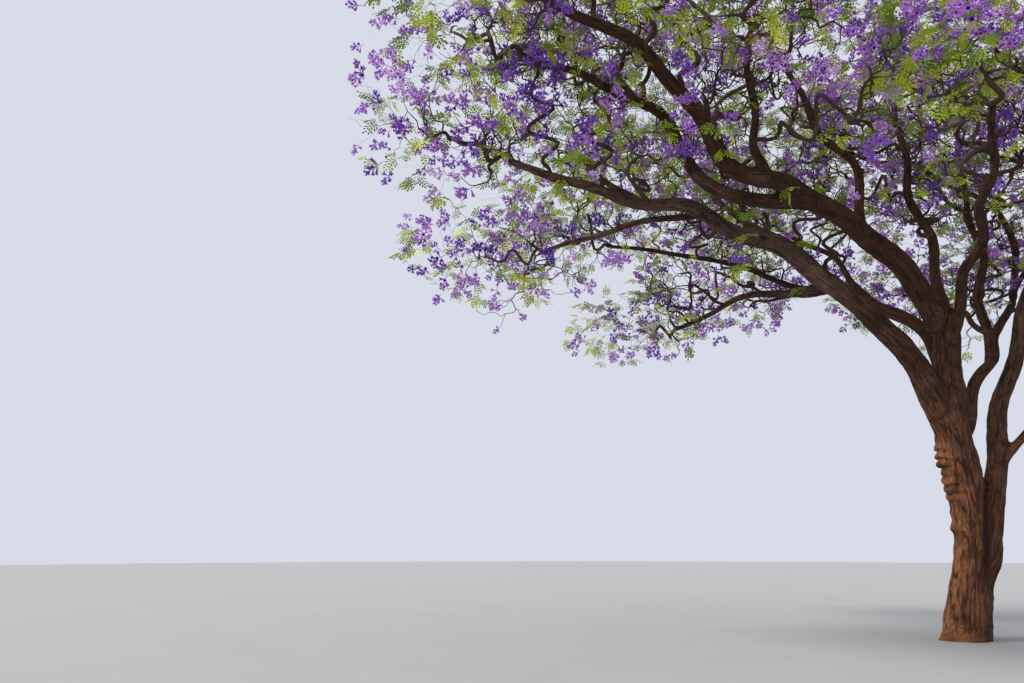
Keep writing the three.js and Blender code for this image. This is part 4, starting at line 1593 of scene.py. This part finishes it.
@dataclass
class Spray:
    """A small shape that is dealt out many times, of unit length along +X.

    Attributes:
        spots: Its corners.
        faces: Its triangles.
        edge: 0 to 1 for each corner, for how near it is to a rim or tip.
        past: How far it may stand out of the part's box.
    """

    spots: np.ndarray
    faces: np.ndarray
    edge: np.ndarray
    past: float = 0.22

    def deal(self, origins: np.ndarray, aims: np.ndarray, rolls: np.ndarray,
             sizes: np.ndarray, tones: np.ndarray) -> Sheet:
        """Deals the shape out.

        Args:
            origins: Where each one starts.
            aims: The way each one points.
            rolls: How far each one is turned about its own length.
            sizes: The length of each one.
            tones: How light each one is, 0 to 1.

        Returns:
            All of them as one sheet.
        """
        side = unit(np.cross(UP + 1e-3, aims))
        over = np.cross(aims, side)
        cos, sin = np.cos(rolls)[:, None], np.sin(rolls)[:, None]
        turns = np.stack([aims, cos * side + sin * over, cos * over - sin * side], axis=2)
        spots = np.einsum("nij,vj->nvi", turns * sizes[:, None, None], self.spots) + origins[:, None]
        low, high = np.array(CAD_BOX)
        kept = ((spots >= low - self.past) & (spots <= high + self.past)).all(axis=(1, 2))
        spots, tones = spots[kept], tones[kept]
        starts = (np.arange(len(spots)) * len(self.spots))[:, None, None]
        values = {
            "spray_tone": np.repeat(tones, len(self.spots)),
            "spray_edge": np.tile(self.edge, len(spots)),
        }
        return Sheet(spots.reshape(-1, 3), (self.faces[None] + starts).reshape(-1, 3), values)


@dataclass
class Frond:
    """A young jacaranda leaf: a stalk with pairs of side leaves, each toothed with leaflets.

    Attributes:
        pairs: Pairs of side leaves.
        droop: How far the tip hangs.
        width: Length of the longest side leaf.
        leaflet: Width of a leaflet, as a share of its side leaf.
    """

    pairs: int = 4
    droop: float = 0.2
    width: float = 0.52
    leaflet: float = 0.2

    def shape(self, seed: int) -> Spray:
        """Makes one frond.

        Args:
            seed: Picks the turns of its side leaves.

        Returns:
            The frond, of unit length.
        """
        spots, faces, edge = [], [], []
        ways = [(n, sign) for n in range(self.pairs) for sign in (-1, 1)] + [(self.pairs, 0)]
        for n, sign in ways:
            share = (n + 1) / (self.pairs + 1)
            root = np.array([0.12 + 0.8 * share, 0, -self.droop * share**2])
            turn = sign * (1.15 - 0.45 * share) + 0.12 * (hash01(n, seed + sign) - 0.5)
            length = self.width * (1 - 0.5 * abs(share - 0.45)) if sign else 0.8 * self.width
            lift = 0.22 - 0.5 * hash01(n + 9, seed + sign)
            along = unit(np.array([math.cos(turn), math.sin(turn), lift - 0.25 * share])) * length
            out = unit(np.cross(UP, along)) * self.leaflet * length
            sag = np.array([0, 0, -0.12 * length])
            marks = ((0, 0), (0.42, 0.3), (0.8, 1), (1, 1.6))
            stations = [root + run * along + fall * sag for run, fall in marks]
            start = len(spots)
            spots += stations
            edge += [0, 0, 0.2, 1]
            for side in (-1, 1):
                spots += [root + 0.38 * along + side * out, root + 0.78 * along + side * 0.8 * out + sag]
                edge += [1, 1]
            a, b, c, d = range(start, start + 4)
            for first in (start + 4, start + 6):
                faces += [[a, b, first], [b, c, first + 1], [c, d, first + 1]]
        start = len(spots)
        for share, thick in ((0.0, 0.022), (0.5, 0.016), (0.95, 0.008)):
            x, z = share, -self.droop * max(0, (share - 0.12) / 0.8) ** 2
            spots += [np.array([x, -thick / 2, z]), np.array([x, thick / 2, z])]
            edge += [0.4, 0.4]
        for k in (start, start + 2):
            faces += [[k, k + 1, k + 3], [k, k + 3, k + 2]]
        return Spray(np.array(spots), np.array(faces), np.array(edge, float))


@dataclass
class Panicle:
    """A cluster of trumpet flowers round a stalk, wide below and pointed above.

    Attributes:
        flowers: How many.
        spread: Length of the lowest ones' stems.
        trumpet: Length of a flower.
        mouth: Radius of its throat.
        lobe: Radius of its lobes' tips.
    """

    flowers: int = 10
    spread: float = 0.2
    trumpet: float = 0.2
    mouth: float = 0.075
    lobe: float = 0.15

    def shape(self, seed: int) -> Spray:
        """Makes one panicle.

        Args:
            seed: Picks the turns and stems of its flowers.

        Returns:
            The panicle, of unit length.
        """
        spots, faces, edge = [], [], []
        for k in range(self.flowers):
            share = k / (self.flowers - 1)
            turn = 2.4 * k + 6.3 * hash01(seed, 3)
            out = np.array([0, math.cos(turn), math.sin(turn)])
            stand = self.spread * (1 - share) ** 0.7 * (0.7 + 0.5 * hash01(k, seed)) + 0.03
            root = np.array([0.22 + 0.62 * share, 0, 0])
            aim = unit(0.8 * out + [0.35 + 0.8 * share + 0.5 * (hash01(k, seed + 7) - 0.5), 0, 0])
            grown = 1 - 0.3 * share
            side = unit(np.cross(aim, [0.2, 0.5, 0.9]))
            over = np.cross(aim, side)
            start = len(spots)
            spots.append(root)
            edge += [0] + 5 * [0.35] + 5 * [1]
            for turned, reach, wide in ((0, 0.72, self.mouth), (0.5, 1, self.lobe)):
                for n in range(5):
                    angle = 2 * np.pi * (n + turned) / 5 + k
                    ray = math.cos(angle) * side + math.sin(angle) * over
                    spots.append(root + stand * aim + grown * (reach * self.trumpet * aim + wide * ray))
            for n in range(5):
                here, after = start + 1 + n, start + 1 + (n + 1) % 5
                faces += [[start, here, after], [here, start + 6 + n, after]]
        start = len(spots)
        for x, thick in ((0.0, 0.02), (0.9, 0.008)):
            for n in range(3):
                spots.append(np.array([x, thick * math.cos(2.1 * n), thick * math.sin(2.1 * n)]))
                edge.append(0)
        for n in range(3):
            low, after = start + n, start + (n + 1) % 3
            faces += [[low, after, after + 3], [low, after + 3, low + 3]]
        return Spray(np.array(spots), np.array(faces), np.array(edge, float))


@dataclass
class Pod:
    """A flat round seed case on a short stalk.

    Attributes:
        rim: Corners round it.
        thick: Its thickness.
    """

    rim: int = 9
    thick: float = 0.16

    def shape(self) -> Spray:
        """Makes one pod.

        Returns:
            The pod, of unit length.
        """
        angle = 2 * np.pi * np.arange(self.rim) / self.rim
        ring = np.stack([0.62 - 0.38 * np.cos(angle), 0.42 * np.sin(angle), 0 * angle], axis=1)
        sides = [[0.62, 0, self.thick], [0.62, 0, -self.thick]]
        stalk = [[0, 0.02, 0], [0, -0.02, 0]]
        spots = np.vstack([ring, sides, stalk])
        n = self.rim
        faces = [[k, (k + 1) % n, n] for k in range(n)] + [[(k + 1) % n, k, n + 1] for k in range(n)]
        faces += [[n + 2, n + 3, 0], [n + 2, 0, 1]]
        return Spray(spots, np.array(faces), np.ones(len(spots)))


@dataclass
class Crown:
    """The dressing of the twig ends: tufts of fronds, panicles and a few pods.

    Attributes:
        frond_size: Shortest and longest frond.
        panicle_size: Shortest and longest panicle.
        tuft: Fewest and most fronds in a tuft.
        bunch: Share of blossom ends that bear two panicles.
        bare_share: Share of ends that bear nothing.
        leafy_share: Share of ends with leaves in a leafy mass, and in one of blossom.
        pods: How many pods.
        most: Most triangles in one piece.
    """

    frond_size: tuple[float, float] = (0.18, 0.32)
    panicle_size: tuple[float, float] = (0.26, 0.44)
    tuft: tuple[int, int] = (2, 4)
    bunch: float = 0.35
    bare_share: float = 0.43
    leafy_share: tuple[float, float] = (0.66, 0.36)
    pods: int = 110
    most: int = 190_000

    def ends(self, twigs: list) -> dict:
        """Collects the twig ends and what grows on each.

        Args:
            twigs: All the twigs.

        Returns:
            The leaf ends and the blossom ends: place, aim and number of each.
        """
        kept = {"leaf": [], "blossom": []}
        for k, twig in enumerate(twigs):
            if hash01(k, 40) < self.bare_share:
                continue
            chance = self.leafy_share[0] if twig.leafy else self.leafy_share[1]
            kind = "leaf" if hash01(k, 41) < chance else "blossom"
            out = unit(twig.points[-1] - twig.middle)
            aim = unit(unit(twig.points[-1] - twig.points[-2]) + 0.6 * out)
            kept[kind].append((twig.points[-1], aim, k))
        return kept

    def fronds(self, ends: list, material_of: list) -> list:
        """Deals fronds out in tufts, by shade.

        Args:
            ends: The leaf ends.
            material_of: The finishes, one a shade.

        Returns:
            One piece a shade.
        """
        shapes = [Frond(droop=droop).shape(seed) for seed, droop in ((1, 0.12), (2, 0.26), (3, 0.4))]
        rows: list = [[] for _ in LEAF_SHADES]
        for spot, aim, k in ends:
            shade = self.shade_of(spot, k, (0.52, 0.8))
            side = unit(np.cross(aim, UP))
            count = self.tuft[0] + round(hash01(k, 43) * (self.tuft[1] - self.tuft[0]))
            for n in range(count):
                turn = (n - (count - 1) / 2) * 1.25 + 0.7 * (hash01(k, n + 44) - 0.5)
                flat = math.cos(turn) * aim + math.sin(turn) * side
                way = unit(flat + [0, 0, 0.25 - 0.6 * hash01(k + 0.5, n + 48)])
                roll = 1.1 * (hash01(k, n + 56) - 0.5)
                size = self.between(self.frond_size, hash01(k, n + 52))
                rows[shade].append((spot, way, roll, size, hash01(k, n + 60), (k + n) % len(shapes)))
        names = ("lime_fronds", "fresh_green_fronds", "gold_fronds")
        return self.by_shade(names, rows, shapes, material_of)

    def blossoms(self, ends: list, material_of: list) -> list:
        """Deals panicles out, by shade.

        Args:
            ends: The blossom ends.
            material_of: The finishes, one a shade.

        Returns:
            One piece a shade.
        """
        shapes = [Panicle(spread=spread).shape(seed) for seed, spread in ((4, 0.11), (5, 0.15), (6, 0.19))]
        rows: list = [[] for _ in PETAL_SHADES]
        for spot, aim, k in ends:
            shade = self.shade_of(spot, k, (0.4, 0.75))
            side = unit(np.cross(aim, UP))
            for n in range(2 if hash01(k, 75) < self.bunch else 1):
                way = unit(aim + (1.5 * n - 0.3) * side + [0, 0, 0.5 - 0.7 * hash01(k, 71 + n)])
                roll = 6.3 * hash01(k, 73 + n)
                size = self.between(self.panicle_size, hash01(k, 72 + n))
                rows[shade].append((spot, way, roll, size, hash01(k, 74), (k + n) % len(shapes)))
        names = ("violet_panicles", "mauve_panicles", "lilac_panicles")
        return self.by_shade(names, rows, shapes, material_of)

    def seed_pods(self, twigs: list, material: bpy.types.Material) -> bpy.types.Object:
        """Hangs pods under some of the twigs.

        Args:
            twigs: All the twigs.
            material: The pods' finish.

        Returns:
            The pods as one piece.
        """
        rows = []
        step = max(1, len(twigs) // self.pods)
        for k in range(0, len(twigs), step):
            points = twigs[k].points
            spot = points[len(points) // 2]
            way = unit(np.array([hash01(k, 81) - 0.5, hash01(k, 82) - 0.5, -1.3]))
            rows.append((spot, way, 6.3 * hash01(k, 83), 0.075 + 0.03 * hash01(k, 84), 0.5, 0))
        return self.pieces("seed_pods", rows, [Pod().shape()], material)[0]

    @staticmethod
    def between(limits: tuple[float, float], share: float) -> float:
        """Gives a value between two limits."""
        return limits[0] + (limits[1] - limits[0]) * share

    def by_shade(self, names: tuple, rows: list, shapes: list, material_of: list) -> list:
        """Makes the pieces of each shade in turn."""
        groups = zip(names, rows, material_of)
        return [one for name, own, material in groups for one in self.pieces(name, own, shapes, material)]

    @staticmethod
    def shade_of(spot: np.ndarray, k: int, steps: tuple[float, float]) -> int:
        """Picks a spray's shade, in drifts over the crown with some of each in all.

        Args:
            spot: The spray's place.
            k: The number of its end.
            steps: Where the second and the third shade begin, of 1.

        Returns:
            The number of the shade.
        """
        drift = 0.5 + 0.5 * math.sin(1.1 * spot[0] + 0.7 * spot[1]) * math.cos(0.9 * spot[1] - 1.3 * spot[2])
        pick = 0.45 * drift + 0.55 * hash01(k, 91)
        return 0 if pick < steps[0] else 1 if pick < steps[1] else 2

    def pieces(self, name: str, rows: list, shapes: list, material: bpy.types.Material) -> list:
        """Deals the rows out with their shapes and joins them into pieces of at most so many triangles.

        Args:
            name: The pieces' name, which gets a number where there are several.
            rows: Root, aim, roll, size, tone and shape of each spray.
            shapes: The shapes.
            material: Their finish.

        Returns:
            The pieces.
        """
        total = sum(len(shapes[row[5]].faces) for row in rows)
        count = math.ceil(total / self.most)
        made = []
        for part in range(count):
            sheets = []
            for number, shape in enumerate(shapes):
                own = [row for row in rows[part::count] if row[5] == number]
                sheets.append(shape.deal(*[np.array(column) for column in list(zip(*own))[:5]]))
            made.append(Sheet.join(sheets).piece(f"{name}_{part + 1}" if count > 1 else name, material))
        return made


@dataclass
class Studio:
    """The plain pale floor, the soft light and the camera at the photograph's viewing angle.

    Attributes:
        floor_size: Radius of the floor.
        eye: Where the camera stands.
        pitch: How far it looks up, in degrees.
        lens: Its focal length on a sensor 36 mm wide.
        lamps: Name, strength, spread in degrees and direction of each light.
    """

    floor_size: float = 90.0
    eye: tuple[float, float, float] = (-8.272, -14.483, 1.6)
    pitch: float = 15.664
    lens: float = 26.016
    lamps: tuple = (("key", 3.5, 14.0, (-0.72, -0.1, 0.68)), ("fill", 1.5, 80.0, (-0.4, -0.9, 0.03)))

    def floor(self) -> bpy.types.Object:
        """Makes the round floor.

        Returns:
            The floor.
        """
        sides = 96
        angle = 2 * np.pi * np.arange(sides) / sides
        level = np.full(sides, -0.002)
        radii = (4.0, 20.0, self.floor_size)
        rings = [np.stack([r * np.cos(angle), r * np.sin(angle), level], axis=1) for r in radii]
        spots = np.vstack([*rings, [[0, 0, -0.002]]])
        n = np.arange(sides)
        after = (n + 1) % sides
        faces = [np.stack([np.full(sides, len(spots) - 1), n, after], axis=1)]
        for low in (0, sides):
            faces += [np.stack([low + n, low + sides + n, low + sides + after], axis=1),
                      np.stack([low + n, low + sides + after, low + after], axis=1)]
        sheet = NodeSheet("pale_floor", 0.8)
        cloud = sheet.noise(sheet.place(), 0.6, 3.0)
        colour = sheet.mix(cloud, (0.33, 0.33, 0.335), (0.37, 0.37, 0.375))
        return Sheet(spots, np.concatenate(faces)).piece("pale_floor", sheet.finish(colour))

    def light(self) -> None:
        """Adds the soft key from the upper left, a broad fill and the pale surround."""
        for name, strength, size, way in self.lamps:
            lamp = bpy.data.lights.new(name, "SUN")
            lamp.energy = strength
            lamp.color = (1.0, 0.95, 0.87)
            lamp.angle = math.radians(size)
            thing = bpy.data.objects.new(name, lamp)
            thing.rotation_mode = "QUATERNION"
            thing.rotation_quaternion = Vector(way).to_track_quat("Z", "Y")
            bpy.context.scene.collection.objects.link(thing)
        world = bpy.data.worlds.new("pale_surround")
        world.use_nodes = True
        shade = world.node_tree.nodes["Background"]
        shade.inputs["Color"].default_value = (0.80, 0.84, 0.95, 1.0)
        shade.inputs["Strength"].default_value = 0.85
        bpy.context.scene.world = world

    def camera(self) -> None:
        """Adds the camera."""
        lens = bpy.data.cameras.new("camera")
        lens.lens = self.lens
        lens.sensor_width = 36.0
        lens.clip_end = 500.0
        thing = bpy.data.objects.new("camera", lens)
        thing.location = self.eye
        thing.rotation_euler = (math.radians(90 + self.pitch), 0.0, 0.0)
        bpy.context.scene.collection.objects.link(thing)
        bpy.context.scene.camera = thing

    def build(self) -> None:
        """Sets up the studio."""
        self.floor()
        self.light()
        self.camera()
        bpy.context.scene.view_settings.view_transform = "Standard"


def settle(piece: bpy.types.Object, slot: Slot, nodes: list[str]) -> None:
    """Fixes a piece to the frame and reports it.

    Args:
        piece: The piece.
        slot: The record's slot for its finish; not used.
        nodes: The CAD nodes that it stands for.
    """
    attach(piece, "root")
    if nodes:
        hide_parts(*nodes)
    piece.data.calc_loop_triangles()
    LOG.info("%s: %d triangles", piece.name, len(piece.data.loop_triangles))


def main() -> None:
    """Builds the tree's pieces in order and the studio round them."""
    logging.basicConfig(level=logging.INFO, format="%(message)s")
    wood = Framework()
    wood.grow()
    bearing = [limb for limb in wood.limbs.values() if limb.name not in BARE]
    masses = [Mass(index, limb) for index, limb in enumerate(bearing)]
    for mass in masses:
        mass.share_with([other for other in masses if other is not mass])
        mass.see_limbs(wood)

    Studio().build()

    bark = BarkFinish().material()
    lower, upper, thin = Bark().build(wood, bark)
    settle(lower, Slot.BARK, ["trunk", "right_stem"])
    settle(upper, Slot.BARK, [name for name in wood.limbs if name != "trunk"])
    settle(thin, Slot.BARK, [name for name in wood.limbs if name not in BARE])

    work = TwigWork()
    for mass in masses:
        work.fill_mass(mass)
    in_masses = len(work.twigs)
    work.add_sprigs(wood)
    work.thicken()
    twig_bark = TwigFinish().material()
    mass_twigs = work.piece("mass_twigs", work.twigs[:in_masses], twig_bark)
    settle(mass_twigs, Slot.BARK, [mass.name for mass in masses])
    settle(work.piece("bough_sprigs", work.twigs[in_masses:], twig_bark), Slot.BARK, [])

    crown = Crown()
    ends = crown.ends(work.twigs)
    LOG.info("%d leaf ends, %d blossom ends", len(ends["leaf"]), len(ends["blossom"]))
    leafy = [mass.name for mass in masses if mass.leafy]
    flowering = [mass.name for mass in masses if not mass.leafy]
    for piece in crown.fronds(ends["leaf"], [shade.material() for shade in LEAF_SHADES]):
        settle(piece, Slot.LEAVES, leafy)
    for piece in crown.blossoms(ends["blossom"], [shade.material() for shade in PETAL_SHADES]):
        settle(piece, Slot.BLOSSOM, flowering)
    settle(crown.seed_pods(work.twigs, PodFinish().material()), Slot.BARK, [])


if __name__ == "__main__":
    main()
